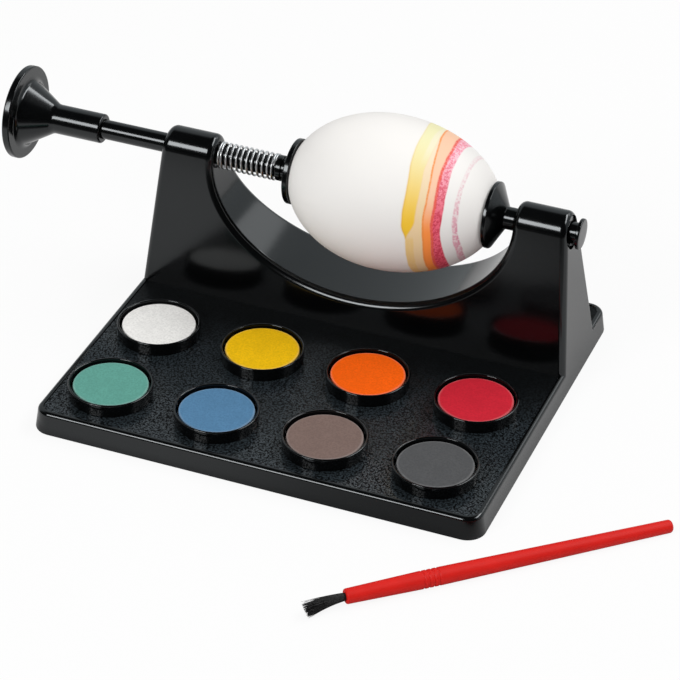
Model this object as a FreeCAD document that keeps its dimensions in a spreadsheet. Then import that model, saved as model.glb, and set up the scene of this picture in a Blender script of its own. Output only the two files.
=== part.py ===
"""Egg-painting spin machine: a palette base with a yoke, a hand-turned sprung spindle and an idler spindle.

Frame: millimetres, +X along the spindle towards the idler end, +Y to the back, +Z up. The origin is the centre of
the base's underside. Every driving dimension is a cell of the sheet called Sizes, and every sub-part is bound to it.
"""
import FreeCAD, Part
import math
import os

import Sketcher
from FreeCAD import Vector

# Driving dimensions in millimetres and degrees: name, value, meaning.
SIZES = (
    ("base_width", 131.2, "base, along the spindle"),
    ("base_depth", 114.0, "base, front to back"),
    ("tray_height", 6.3, "height of the palette panel"),
    ("corner_radius", 5.5, "corners of the base in plan"),
    ("side_draft", 8.0, "draft of the base's sides, degrees"),
    ("edge_radius", 1.2, "rounding of the base's top edge"),
    ("lip_width", 1.5, "border round the palette panel, from the top edge"),
    ("lip_height", 0.3, "border above the palette panel"),
    ("wall", 2.0, "wall of the housing"),
    ("yoke_front", 73.4, "front edge of the base to the yoke's front face, at the palette"),
    ("yoke_foot", 28.0, "yoke, front to back at the palette"),
    ("arm_span", 122.0, "yoke, across its ends at the spindle's height"),
    ("yoke_rounding", 2.0, "rounding of the yoke's edges"),
    ("boss_radius", 5.8, "spindle bosses"),
    ("axis_height", 47.0, "spindle axis above the table"),
    ("axis_setback", 84.7, "front edge of the base to the spindle axis"),
    ("cradle_half_width", 45.0, "cradle, half its width between the bosses"),
    ("cradle_drop", 31.9, "cradle, its depth below the spindle axis"),
    ("pans_left", 0.9, "middle of the pans, to the left of the base's middle"),
    ("pan_pitch_x", 31.8, "pan spacing along the spindle"),
    ("pan_pitch_y", 32.4, "pan spacing front to back"),
    ("first_row", 17.1, "front edge of the base to the front row of pans"),
    ("pan_radius", 11.9, "paint pan at its rim"),
    ("pan_height", 3.9, "paint pan above the palette panel"),
    ("pan_rim", 0.7, "wall of a pan"),
    ("pan_floor", 0.9, "floor of a pan"),
    ("pan_taper", 0.2, "pan, smaller at its foot by this radius"),
    ("spigot_radius", 7.0, "pan spigot in the palette's hole"),
    ("tablet_radius", 10.5, "watercolour tablet"),
    ("tablet_recess", 0.75, "tablet below the pan's rim"),
    ("tablet_edge", 0.35, "worn edge of a tablet"),
    ("press_gap", 0.02, "radial gap of a pressed joint"),
    ("running_gap", 0.06, "radial gap of a running fit"),
    ("seat_gap", 0.3, "gap at a curved seat or an end stop"),
    ("face_gap", 0.05, "gap between faces that slide on each other"),
    ("rod_radius", 2.85, "rod and idler pin"),
    ("cup_radius", 9.5, "cups that hold the egg"),
    ("cup_wall", 0.9, "wall of a cup at its rim"),
    ("hub_radius", 3.4, "hub of a cup"),
    ("drive_rim", 1.5, "drive cup, its edge along the spindle"),
    ("drive_cone", 1.2, "drive cup, its back along the spindle"),
    ("drive_hub", 1.7, "drive cup, its hub along the spindle"),
    ("drive_recess", 2.3, "depth of the drive cup"),
    ("drive_floor", 2.8, "flat bottom inside the drive cup, radius"),
    ("idler_rim", 1.1, "idler cup, its edge along the spindle"),
    ("idler_cone", 3.4, "idler cup, its back along the spindle"),
    ("idler_recess", 3.3, "depth of the idler cup"),
    ("idler_floor", 3.6, "flat bottom inside the idler cup, radius"),
    ("collar_radius", 3.2, "collar of the idler spindle"),
    ("collar_length", 3.0, "collar of the idler spindle"),
    ("egg_radius", 22.05, "egg, largest radius"),
    ("egg_blunt", 29.6, "egg, widest place to its blunt end"),
    ("egg_point", 32.5, "egg, widest place to its pointed end"),
    ("washer_radius", 3.7, "thrust washer"),
    ("washer_length", 1.6, "thrust washer"),
    ("spring_radius", 3.65, "spring, to the middle of its wire"),
    ("wire_radius", 0.3, "spring wire"),
    ("spring_turns", 10.5, "turns of the spring"),
    ("knob_standoff", 20.2, "knob sleeve to the left boss"),
    ("sleeve_length", 15.1, "sleeve of the knob"),
    ("sleeve_radius", 4.3, "sleeve of the knob"),
    ("sleeve_chamfer", 0.6, "end of the sleeve"),
    ("knob_cone", 9.0, "cone of the knob, along the spindle"),
    ("knob_cone_radius", 9.8, "cone of the knob, where it meets the disc"),
    ("knob_disc", 2.2, "disc of the knob, along the spindle"),
    ("knob_radius", 13.7, "disc of the knob"),
    ("knob_edge", 0.5, "rounding of the disc's edges"),
    ("knob_root", 2.2, "rounding between cone and disc"),
    ("knob_dish", 1.2, "dish in the end of the knob"),
    ("dish_border", 2.2, "border round the dish"),
    ("socket_depth", 17.0, "rod inside the knob"),
    ("cap_recess", 2.2, "recess in the right boss for the end cap"),
    ("cap_flange_radius", 4.5, "end cap, inner flange"),
    ("cap_head_radius", 4.4, "end cap, outer flange"),
    ("cap_flange", 0.9, "end cap, inner flange along the spindle"),
    ("cap_neck", 2.8, "end cap, neck along the spindle"),
    ("cap_head", 1.1, "end cap, outer flange along the spindle"),
    ("cap_neck_radius", 3.0, "end cap, neck"),
    ("pin_tip_radius", 1.9, "idler pin inside the end cap"),
    ("brush_tip_x", 33.7, "tip of the brush, to the right of the middle"),
    ("brush_tip_y", 44.65, "tip of the brush, before the base's front edge"),
    ("brush_yaw", 42.4, "brush, turned from the spindle's direction, degrees"),
    ("bristle_length", 11.4, "bristles outside the handle"),
    ("bristle_root", 1.0, "bristles at the handle, radius"),
    ("bristle_tip", 1.9, "bristles at the tip, radius"),
    ("bristle_socket", 6.0, "bristles inside the handle"),
    ("handle_length", 92.6, "brush handle"),
    ("handle_nose", 2.05, "brush handle at the bristles, radius"),
    ("nose_edge", 0.5, "rounding of the handle at the bristles"),
    ("ring_place", 22.1, "handle's nose to the first grip ring"),
    ("ring_pitch", 1.4, "grip rings, spacing"),
    ("ring_radius", 2.43, "grip rings, level with the thickest place of the handle"),
    ("ring_groove", 0.28, "grooves beside the grip rings"),
    ("handle_tail", 1.8, "brush handle at its round end, radius"),
)

PAN_ROWS = (("green", "blue", "brown", "black"), ("white", "yellow", "orange", "red"))
RING_COUNT = 3


class Size:
    """A length that carries its value and the sheet expression it comes from."""

    def __init__(self, value, text):
        self.value = float(value)
        self.text = text

    def __add__(self, other):
        return combine(self, "+", other, lambda a, b: a + b)

    def __radd__(self, other):
        return combine(other, "+", self, lambda a, b: a + b)

    def __sub__(self, other):
        return combine(self, "-", other, lambda a, b: a - b)

    def __rsub__(self, other):
        return combine(other, "-", self, lambda a, b: a - b)

    def __mul__(self, other):
        return combine(self, "*", other, lambda a, b: a * b)

    def __rmul__(self, other):
        return combine(other, "*", self, lambda a, b: a * b)

    def __truediv__(self, other):
        return combine(self, "/", other, lambda a, b: a / b)

    def __neg__(self):
        return Size(-self.value, "-(%s)" % self.text)


def as_size(number):
    """A plain number as a Size."""
    return number if isinstance(number, Size) else Size(number, "%.9g" % number)


def combine(left, sign, right, rule):
    left, right = as_size(left), as_size(right)
    return Size(rule(left.value, right.value), "(%s %s %s)" % (left.text, sign, right.text))


def root(size):
    return Size(math.sqrt(size.value), "sqrt(%s)" % size.text)


def tangent(size):
    return Size(math.tan(math.radians(size.value)), "tan(%s)" % size.text)


def make_sheet(doc):
    """Write the driving dimensions into the sheet and return them as Sizes."""
    sheet = doc.addObject("Spreadsheet::Sheet", "Sizes")
    sizes = {}
    for row, (name, value, meaning) in enumerate(SIZES, start=1):
        sheet.set("A%d" % row, meaning)
        sheet.set("B%d" % row, str(value))
        sheet.setAlias("B%d" % row, name)
        sizes[name] = Size(value, "Sizes." + name)
    doc.recompute()
    return sizes


def bind(item, **properties):
    """Bind properties of a document object to Sizes; two underscores in a name stand for a dot."""
    for name, size in properties.items():
        item.setExpression(name.replace("__", "."), as_size(size).text)


def place(item, x=0, y=0, z=0):
    """Bind the position of an object to Sizes."""
    bind(item, Placement__Base__x=x, Placement__Base__y=y, Placement__Base__z=z)


# ---- sketches ----

def new_body(doc, label):
    body = doc.addObject("PartDesign::Body", label)
    body.Label = label
    return body


def new_sketch(body, plane_role, name, height=None):
    """A sketch on one of the body's own origin planes, lifted along the plane's normal by height."""
    sketch = body.newObject("Sketcher::SketchObject", name)
    plane = [feature for feature in body.Origin.OriginFeatures if feature.Role == plane_role][0]
    sketch.AttachmentSupport = [(plane, "")]
    sketch.MapMode = "FlatFace"
    if height is not None:
        sketch.setExpression(".AttachmentOffset.Base.z", as_size(height).text)
    return sketch


def pin_point(sketch, geometry, end, x, y):
    """Tie one end of a sketch edge to the sheet."""
    for kind, size, axis in (("DistanceX", as_size(x), -2), ("DistanceY", as_size(y), -1)):
        if size.text == "0":
            sketch.addConstraint(Sketcher.Constraint("PointOnObject", geometry, end, axis))
        else:
            index = sketch.addConstraint(Sketcher.Constraint(kind, -1, 1, geometry, end, size.value))
            sketch.setExpression("Constraints[%d]" % index, size.text)


def point(x, y):
    return Vector(as_size(x).value, as_size(y).value, 0)


def draw_outline(sketch, corners):
    """A closed outline of straight edges, each corner tied to the sheet."""
    count = len(corners)
    for index in range(count):
        start, end = corners[index], corners[(index + 1) % count]
        sketch.addGeometry(Part.LineSegment(point(*start), point(*end)), False)
    for index in range(count):
        sketch.addConstraint(Sketcher.Constraint("Coincident", index, 2, (index + 1) % count, 1))
    for index, (x, y) in enumerate(corners):
        pin_point(sketch, index, 1, x, y)


def draw_rounded_rectangle(sketch, half_x, half_y, radius):
    """A rounded rectangle about the sketch's origin."""
    hx, hy, r = half_x.value, half_y.value, radius.value
    quarter = math.pi / 2
    corners = ((hx - r, hy - r, 0), (r - hx, hy - r, 1), (r - hx, r - hy, 2), (hx - r, r - hy, 3))
    sides = (
        ((hx - r, hy), (r - hx, hy)), ((-hx, hy - r), (-hx, r - hy)),
        ((r - hx, -hy), (hx - r, -hy)), ((hx, r - hy), (hx, hy - r)),
    )
    for (x, y, turn), (start, end) in zip(corners, sides):
        circle = Part.Circle(Vector(x, y, 0), Vector(0, 0, 1), r)
        sketch.addGeometry(Part.ArcOfCircle(circle, turn * quarter, (turn + 1) * quarter), False)
        sketch.addGeometry(Part.LineSegment(Vector(start[0], start[1], 0), Vector(end[0], end[1], 0)), False)
    for turn in range(4):
        arc, side, next_arc = 2 * turn, 2 * turn + 1, (2 * turn + 2) % 8
        sketch.addConstraint(Sketcher.Constraint("Tangent", arc, 2, side, 1))
        sketch.addConstraint(Sketcher.Constraint("Tangent", side, 2, next_arc, 1))
        index = sketch.addConstraint(Sketcher.Constraint("Radius", arc, r))
        sketch.setExpression("Constraints[%d]" % index, radius.text)
    for side, kind, size in ((1, "DistanceY", half_y), (3, "DistanceX", -half_x),
                             (5, "DistanceY", -half_y), (7, "DistanceX", half_x)):
        level = "Horizontal" if kind == "DistanceY" else "Vertical"
        sketch.addConstraint(Sketcher.Constraint(level, side))
        index = sketch.addConstraint(Sketcher.Constraint(kind, -1, 1, side, 1, size.value))
        sketch.setExpression("Constraints[%d]" % index, size.text)


# ---- features ----

def pad(body, sketch, length, **settings):
    feature = body.newObject("PartDesign::Pad", sketch.Name + "_pad")
    feature.Profile = sketch
    bind(feature, Length=length)
    for name, value in settings.items():
        setattr(feature, name, value)
    return feature


def pocket(body, sketch, length, upward):
    feature = body.newObject("PartDesign::Pocket", sketch.Name + "_pocket")
    feature.Profile = sketch
    feature.Reversed = upward
    bind(feature, Length=length)
    return feature


def revolve(body, sketch, axis):
    feature = body.newObject("PartDesign::Revolution", sketch.Name + "_turned")
    feature.Profile = sketch
    feature.ReferenceAxis = (sketch, [axis])
    feature.Angle = 360
    return feature


def dress_edges(body, kind, base, edges, size):
    """A PartDesign fillet or chamfer on named edges of the base feature."""
    feature = body.newObject("PartDesign::" + kind, "%s_%s" % (base.Name, kind.lower()))
    feature.Base = (base, edges)
    bind(feature, **{"Radius" if kind == "Fillet" else "Size": size})
    return feature


def find_edges(shape, test):
    """Names of the edges for which test(edge) is true."""
    return ["Edge%d" % (number + 1) for number, edge in enumerate(shape.Edges) if test(edge)]


def middle(edge):
    return edge.valueAt((edge.FirstParameter + edge.LastParameter) / 2)


def close(first, second, reach=1e-4):
    return abs(first - second) < reach


def rim_at(x, radius):
    """A test for the circle of that radius about the local X axis at x."""
    def test(edge):
        if not isinstance(edge.Curve, Part.Circle):
            return False
        return close(edge.Curve.Radius, radius.value) and close(edge.Curve.Center.x, x.value)
    return test


def turned_part(doc, label, corners, axis_place):
    """A body turned about the spindle's axis from corners given as (along X, radius)."""
    body = new_body(doc, label)
    sketch = new_sketch(body, "XZ_Plane", label + "_profile")
    draw_outline(sketch, corners)
    doc.recompute()
    feature = revolve(body, sketch, "H_Axis")
    place(body, *axis_place)
    doc.recompute()
    return body, feature


# ---- the housing ----

def make_tray(doc, s):
    """The palette: a drafted block with rounded corners, a bordered panel and a hollow underside."""
    body = new_body(doc, "tray")
    rim_height = s["tray_height"] + s["lip_height"]
    half_x, half_y = s["base_width"] / 2, s["base_depth"] / 2
    outline = new_sketch(body, "XY_Plane", "tray_outline")
    draw_rounded_rectangle(outline, half_x, half_y, s["corner_radius"])
    doc.recompute()
    block = pad(body, outline, rim_height)
    bind(block, TaperAngle=-s["side_draft"])
    doc.recompute()
    top_edges = find_edges(block.Shape, lambda edge: close(middle(edge).z, rim_height.value))
    dress_edges(body, "Fillet", block, top_edges, s["edge_radius"])
    panel = new_sketch(body, "XY_Plane", "panel_outline", rim_height)
    inset = rim_height * tangent(s["side_draft"]) + s["lip_width"]
    draw_rounded_rectangle(panel, half_x - inset, half_y - inset, s["corner_radius"] - inset)
    doc.recompute()
    pocket(body, panel, s["lip_height"], False)
    under = new_sketch(body, "XY_Plane", "underside_outline")
    hollow = s["tray_height"] - s["wall"]
    inset = s["wall"] + hollow * tangent(s["side_draft"])
    draw_rounded_rectangle(under, half_x - inset, half_y - inset, s["corner_radius"] - inset)
    doc.recompute()
    pocket(body, under, hollow, True)
    return body


def prism(doc, label, plane_role, draw, half_length):
    """A prism on both sides of one of its own origin planes."""
    body = new_body(doc, label)
    sketch = new_sketch(body, plane_role, label + "_outline")
    draw(sketch)
    doc.recompute()
    feature = pad(body, sketch, 2 * half_length)
    feature.SideType = "Symmetric"
    doc.recompute()
    return body


def half_span_at(s, height):
    """Half the yoke's width at a height: its ends lean in from the base's sides to the bosses."""
    low = yoke_low(s)
    foot = s["base_width"] / 2 - low * tangent(s["side_draft"])
    return foot - (height - low) * (foot - s["arm_span"] / 2) / (s["axis_height"] - low)


def yoke_low(s):
    """Height at which the yoke leaves the base's sides."""
    return s["tray_height"] + s["lip_height"] - s["edge_radius"]


def axis_point(s):
    """The spindle axis, seen from the side."""
    return s["axis_setback"] - s["base_depth"] / 2, s["axis_height"]


def face_lean(s, reach):
    """Lean of a yoke face that starts reach from the axis at the palette and touches the boss."""
    rise = s["axis_height"] - s["tray_height"]
    radius = s["boss_radius"]
    run = root(reach * reach + rise * rise - radius * radius)
    return (reach * run - rise * radius) / (reach * radius + rise * run)


class YokeSide:
    """The front and back faces of the yoke, seen from the side."""

    def __init__(self, s):
        self.axis_y, self.axis_z = axis_point(s)
        self.palette = s["tray_height"]
        self.front_reach = s["axis_setback"] - s["yoke_front"]
        self.back_reach = s["yoke_front"] + s["yoke_foot"] - s["axis_setback"]
        self.front_lean = face_lean(s, self.front_reach)
        self.back_lean = face_lean(s, self.back_reach)

    def front(self, height, margin=0):
        return self.axis_y - self.front_reach + margin + (height - self.palette) * self.front_lean

    def back(self, height, margin=0):
        return self.axis_y + self.back_reach - margin - (height - self.palette) * self.back_lean


def draw_yoke_side(sketch, s):
    """The yoke's side outline: foot, back face, boss and front face."""
    side, low, radius = YokeSide(s), yoke_low(s), s["boss_radius"]
    centre = point(side.axis_y, side.axis_z)
    back_angle = math.atan(side.back_lean.value)
    front_angle = math.pi - math.atan(side.front_lean.value)
    arc = Part.ArcOfCircle(Part.Circle(centre, Vector(0, 0, 1), radius.value), back_angle, front_angle)
    front_foot, back_foot = point(side.front(low), low), point(side.back(low), low)
    sketch.addGeometry(Part.LineSegment(front_foot, back_foot), False)
    sketch.addGeometry(Part.LineSegment(back_foot, arc.StartPoint), False)
    sketch.addGeometry(arc, False)
    sketch.addGeometry(Part.LineSegment(arc.EndPoint, front_foot), False)
    sketch.addConstraint(Sketcher.Constraint("Coincident", 0, 2, 1, 1))
    sketch.addConstraint(Sketcher.Constraint("Tangent", 1, 2, 2, 1))
    sketch.addConstraint(Sketcher.Constraint("Tangent", 2, 2, 3, 1))
    sketch.addConstraint(Sketcher.Constraint("Coincident", 3, 2, 0, 1))
    index = sketch.addConstraint(Sketcher.Constraint("Radius", 2, radius.value))
    sketch.setExpression("Constraints[%d]" % index, radius.text)
    pin_point(sketch, 2, 3, side.axis_y, side.axis_z)
    pin_point(sketch, 0, 1, side.front(low), low)
    pin_point(sketch, 0, 2, side.back(low), low)


def yoke_front_corners(s, margin, low, high):
    """The yoke seen from the front, without its cradle."""
    return ((-half_span_at(s, low) + margin, low), (half_span_at(s, low) - margin, low),
            (half_span_at(s, high) - margin, high), (-half_span_at(s, high) + margin, high))


def cradle_cutter(doc, s, label, margin):
    """The elliptical trough between the bosses, open to the top, larger all round by margin."""
    half_width = s["cradle_half_width"] + margin
    ellipse = doc.addObject("Part::Ellipse", label + "_ellipse")
    bind(ellipse, MajorRadius=half_width, MinorRadius=s["cradle_drop"] + margin)
    ellipse.Placement = FreeCAD.Placement(Vector(), FreeCAD.Rotation(Vector(1, 0, 0), 90))
    place(ellipse, 0, s["base_depth"], s["axis_height"])
    trough = doc.addObject("Part::Extrusion", label + "_trough")
    trough.Base = ellipse
    trough.DirMode = "Custom"
    trough.Dir = Vector(0, -1, 0)
    trough.Solid = True
    bind(trough, LengthFwd=2 * s["base_depth"])
    mouth = doc.addObject("Part::Box", label + "_mouth")
    bind(mouth, Length=2 * half_width, Width=2 * s["base_depth"], Height=4 * s["boss_radius"])
    place(mouth, -half_width, -s["base_depth"], s["axis_height"])
    cutter = doc.addObject("Part::MultiFuse", label)
    cutter.Shapes = [trough, mouth]
    cutter.Refine = True
    return cutter


def combine_solids(doc, kind, label, first, second):
    """A cut or a common of two objects."""
    result = doc.addObject("Part::" + kind, label)
    if kind == "Cut":
        result.Base, result.Tool = first, second
    else:
        result.Shapes = [first, second]
    doc.recompute()
    return result


def make_yoke(doc, s):
    """The upright with its cradle and two bosses, all its outline edges rounded."""
    low, high = yoke_low(s), s["axis_height"] + 2 * s["boss_radius"]
    corners = yoke_front_corners(s, 0, low, high)
    front = prism(doc, "yoke_front", "XZ_Plane", lambda sketch: draw_outline(sketch, corners), s["base_depth"])
    side = prism(doc, "yoke_side", "YZ_Plane", lambda sketch: draw_yoke_side(sketch, s), s["base_width"])
    block = combine_solids(doc, "MultiCommon", "yoke_block", front, side)
    core = combine_solids(doc, "Cut", "yoke_core", block, cradle_cutter(doc, s, "cradle", 0))
    body = new_body(doc, "yoke")
    body.BaseFeature = core
    doc.recompute()

    def on_outline(edge):
        start, end = edge.Vertexes[0].Point, edge.Vertexes[-1].Point
        straight = isinstance(edge.Curve, Part.Line)
        return middle(edge).z > low.value + 1e-3 and not (straight and close(start.z, end.z))

    base = body.Group[0]
    dress_edges(body, "Fillet", base, find_edges(base.Shape, on_outline), s["yoke_rounding"])
    doc.recompute()
    return body


def make_yoke_void(doc, s):
    """The hollow inside the yoke, open to the underside."""
    low = s["tray_height"] - s["wall"] - s["lip_height"]
    high = s["axis_height"] - s["boss_radius"]
    wall = s["wall"]
    side = YokeSide(s)
    corners = yoke_front_corners(s, wall, low, high)
    profile = ((side.front(low, wall), low), (side.back(low, wall), low),
               (side.back(high, wall), high), (side.front(high, wall), high))
    across = prism(doc, "void_front", "XZ_Plane", lambda sketch: draw_outline(sketch, corners), s["base_depth"])
    along = prism(doc, "void_side", "YZ_Plane", lambda sketch: draw_outline(sketch, profile), s["base_width"])
    block = combine_solids(doc, "MultiCommon", "void_block", across, along)
    return combine_solids(doc, "Cut", "yoke_void", block, cradle_cutter(doc, s, "cradle_wall", wall))


def cylinder_along_x(doc, s, label, radius, start, length):
    """A cylinder on the spindle axis."""
    axis_y, axis_z = axis_point(s)
    item = doc.addObject("Part::Cylinder", label)
    bind(item, Radius=radius, Height=length)
    item.Placement = FreeCAD.Placement(Vector(), FreeCAD.Rotation(Vector(0, 1, 0), 90))
    place(item, start, axis_y, axis_z)
    return item


def pan_places(s):
    """Colour and centre of every pan."""
    for row, colours in enumerate(PAN_ROWS):
        for column, colour in enumerate(colours):
            x = (column - (len(colours) - 1) / 2) * s["pan_pitch_x"] - s["pans_left"]
            y = s["first_row"] + row * s["pan_pitch_y"] - s["base_depth"] / 2
            yield colour, x, y


def make_housing(doc, s):
    """The moulded base: tray and yoke in one, with bores for the spindles and holes for the pans."""
    solid = doc.addObject("Part::MultiFuse", "housing_solid")
    solid.Shapes = [make_tray(doc, s), make_yoke(doc, s)]
    solid.Refine = False
    reach = s["base_width"] / 2 + s["arm_span"] / 2
    bore = cylinder_along_x(doc, s, "spindle_bore", s["rod_radius"] + s["running_gap"], -reach, 2 * reach)
    recess = s["arm_span"] / 2 - s["cap_recess"]
    seat = cylinder_along_x(doc, s, "cap_seat", s["cap_flange_radius"] + s["seat_gap"], recess, reach)
    cutters = [make_yoke_void(doc, s), bore, seat]
    for colour, x, y in pan_places(s):
        hole = doc.addObject("Part::Cylinder", "hole_" + colour)
        bind(hole, Radius=s["spigot_radius"] + s["press_gap"], Height=s["tray_height"])
        place(hole, x, y, s["wall"])
        cutters.append(hole)
    hollows = doc.addObject("Part::MultiFuse", "housing_hollows")
    hollows.Shapes = cutters
    doc.recompute()
    housing = combine_solids(doc, "Cut", "base_housing", solid, hollows)
    return housing


# ---- paints ----

def turned_upright(doc, label, corners, x, y, z):
    """A body turned about its own vertical axis from corners given as (radius, height)."""
    body = new_body(doc, label)
    sketch = new_sketch(body, "XZ_Plane", label + "_profile")
    draw_outline(sketch, corners)
    doc.recompute()
    feature = revolve(body, sketch, "V_Axis")
    place(body, x, y, z)
    doc.recompute()
    return body, feature


def circle_at_height(height):
    """A test for the circles about the local vertical axis at a height."""
    return lambda edge: isinstance(edge.Curve, Part.Circle) and close(edge.Curve.Center.z, height.value)


def make_paints(doc, s):
    """The eight pans, pressed into the palette, and the tablets that lie in them."""
    made = {}
    foot = s["pan_radius"] - s["pan_taper"]
    spigot_end = -s["wall"]
    spigot_hollow = s["spigot_radius"] - s["pan_floor"]
    inside = s["pan_radius"] - s["pan_rim"]
    pan = ((spigot_hollow, spigot_end), (s["spigot_radius"], spigot_end), (s["spigot_radius"], 0), (foot, 0),
           (s["pan_radius"], s["pan_height"]), (inside, s["pan_height"]), (inside, s["pan_floor"]),
           (0, s["pan_floor"]), (0, 0), (spigot_hollow, 0))
    tablet_top = s["pan_height"] - s["tablet_recess"]
    tablet = ((0, s["pan_floor"]), (s["tablet_radius"], s["pan_floor"]), (s["tablet_radius"], tablet_top),
              (0, tablet_top))
    for colour, x, y in pan_places(s):
        cup, turned = turned_upright(doc, "pan_" + colour, pan, x, y, s["tray_height"])
        rims = find_edges(turned.Shape, circle_at_height(s["pan_height"]))
        dress_edges(cup, "Fillet", turned, rims, s["pan_rim"] * 0.4)
        block, turned = turned_upright(doc, "tablet_" + colour, tablet, x, y, s["tray_height"])
        dress_edges(block, "Fillet", turned, find_edges(turned.Shape, circle_at_height(tablet_top)), s["tablet_edge"])
        made["pan_" + colour] = cup
        made["tablet_" + colour] = block
    return made


# ---- spindles ----

class Stations:
    """Positions along the spindle, from the knob to the end cap.

    The spring's left face lies where its outside meets the cradle's curved side.
    """

    def __init__(self, s):
        mouth_radius = s["cup_radius"] - s["cup_wall"]
        seat = root(1 - mouth_radius * mouth_radius / (s["egg_radius"] * s["egg_radius"]))
        self.right_face = s["cradle_half_width"]
        self.right_collar = self.right_face - s["seat_gap"]
        self.right_hub = self.right_collar - s["collar_length"]
        self.right_rim = self.right_hub - s["idler_cone"] - s["idler_rim"]
        self.egg = self.right_rim - s["seat_gap"] - s["egg_point"] * seat
        self.left_rim = self.egg - s["egg_blunt"] * seat - s["seat_gap"]
        self.left_hub = self.left_rim - s["drive_rim"] - s["drive_cone"] - s["drive_hub"]
        self.washer = self.left_hub - s["face_gap"]
        self.washer_end = self.washer - s["washer_length"]
        coil = s["spring_radius"] + s["wire_radius"]
        self.left_face = -s["cradle_half_width"] * root(1 - coil * coil / (s["cradle_drop"] * s["cradle_drop"]))
        self.sleeve = -(s["arm_span"] / 2 + s["knob_standoff"])
        self.sleeve_start = self.sleeve - s["sleeve_length"]
        self.disc = self.sleeve_start - s["knob_cone"]
        self.disc_end = self.disc - s["knob_disc"]
        self.socket_end = self.sleeve - s["socket_depth"]
        self.rod_end = self.socket_end + s["seat_gap"]
        self.cap = s["arm_span"] / 2 - s["cap_recess"] + s["seat_gap"]
        self.cap_neck = self.cap + s["cap_flange"]
        self.cap_head = self.cap_neck + s["cap_neck"]
        self.cap_end = self.cap_head + s["cap_head"]
        self.tip_end = self.cap_head


def cup_corners(s, kind, rim, away):
    """Corners of a cup from its hub to the middle of its recess; away is -1 for a cup that opens to the right."""
    cone = rim + away * s[kind + "_rim"]
    hub = cone + away * s[kind + "_cone"]
    floor = rim + away * s[kind + "_recess"]
    return ((hub, s["hub_radius"]), (cone, s["cup_radius"]), (rim, s["cup_radius"]),
            (rim, s["cup_radius"] - s["cup_wall"]), (floor, s[kind + "_floor"]), (floor, 0))


def make_drive_spindle(doc, s, at, axis_place):
    """The rod and the left cup with its hub, in one."""
    corners = ((at.rod_end, 0), (at.rod_end, s["rod_radius"]), (at.left_hub, s["rod_radius"]),
               (at.left_hub, s["hub_radius"])) + cup_corners(s, "drive", at.left_rim, -1)
    return turned_part(doc, "drive_spindle", corners, axis_place)[0]


def make_idler_spindle(doc, s, at, axis_place):
    """The pin, its collar and the right cup, in one."""
    corners = ((at.tip_end, 0), (at.tip_end, s["pin_tip_radius"]), (at.cap, s["pin_tip_radius"]),
               (at.cap, s["rod_radius"]), (at.right_collar, s["rod_radius"]),
               (at.right_collar, s["collar_radius"]), (at.right_hub, s["collar_radius"]))
    corners += cup_corners(s, "idler", at.right_rim, 1)
    return turned_part(doc, "idler_spindle", corners, axis_place)[0]


def make_knob(doc, s, at, axis_place):
    """The turning knob: a disc, a cone and a sleeve with a blind socket for the rod."""
    bore = s["rod_radius"] + s["press_gap"]
    border = s["knob_radius"] - s["dish_border"]
    corners = ((at.sleeve, bore), (at.sleeve, s["sleeve_radius"]), (at.sleeve_start, s["sleeve_radius"]),
               (at.disc, s["knob_cone_radius"]), (at.disc, s["knob_radius"]), (at.disc_end, s["knob_radius"]),
               (at.disc_end, border), (at.disc_end + s["knob_dish"], border - s["knob_dish"]),
               (at.disc_end + s["knob_dish"], 0), (at.socket_end, 0), (at.socket_end, bore))
    body, turned = turned_part(doc, "turning_knob", corners, axis_place)
    root_edges = find_edges(turned.Shape, rim_at(at.disc, s["knob_cone_radius"]))
    rooted = dress_edges(body, "Fillet", turned, root_edges, s["knob_root"])
    doc.recompute()
    inner, outer = rim_at(at.disc, s["knob_radius"]), rim_at(at.disc_end, s["knob_radius"])
    rims = find_edges(rooted.Shape, lambda edge: inner(edge) or outer(edge))
    edged = dress_edges(body, "Fillet", rooted, rims, s["knob_edge"])
    doc.recompute()
    mouth = find_edges(edged.Shape, rim_at(at.sleeve, s["sleeve_radius"]))
    dress_edges(body, "Chamfer", edged, mouth, s["sleeve_chamfer"])
    doc.recompute()
    return body


def make_washer(doc, s, at, axis_place):
    """The washer between the spring and the left cup."""
    bore = s["rod_radius"] + s["running_gap"]
    corners = ((at.washer_end, bore), (at.washer_end, s["washer_radius"]), (at.washer, s["washer_radius"]),
               (at.washer, bore))
    return turned_part(doc, "thrust_washer", corners, axis_place)[0]


def make_end_cap(doc, s, at, axis_place):
    """The spool-shaped cap that keeps the idler pin in its boss."""
    bore = s["pin_tip_radius"] + s["press_gap"]
    socket_end = at.tip_end + s["seat_gap"]
    corners = ((at.cap, bore), (at.cap, s["cap_flange_radius"]), (at.cap_neck, s["cap_flange_radius"]),
               (at.cap_neck, s["cap_neck_radius"]), (at.cap_head, s["cap_neck_radius"]),
               (at.cap_head, s["cap_head_radius"]), (at.cap_end, s["cap_head_radius"]), (at.cap_end, 0),
               (socket_end, 0), (socket_end, bore))
    return turned_part(doc, "end_cap", corners, axis_place)[0]


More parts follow.
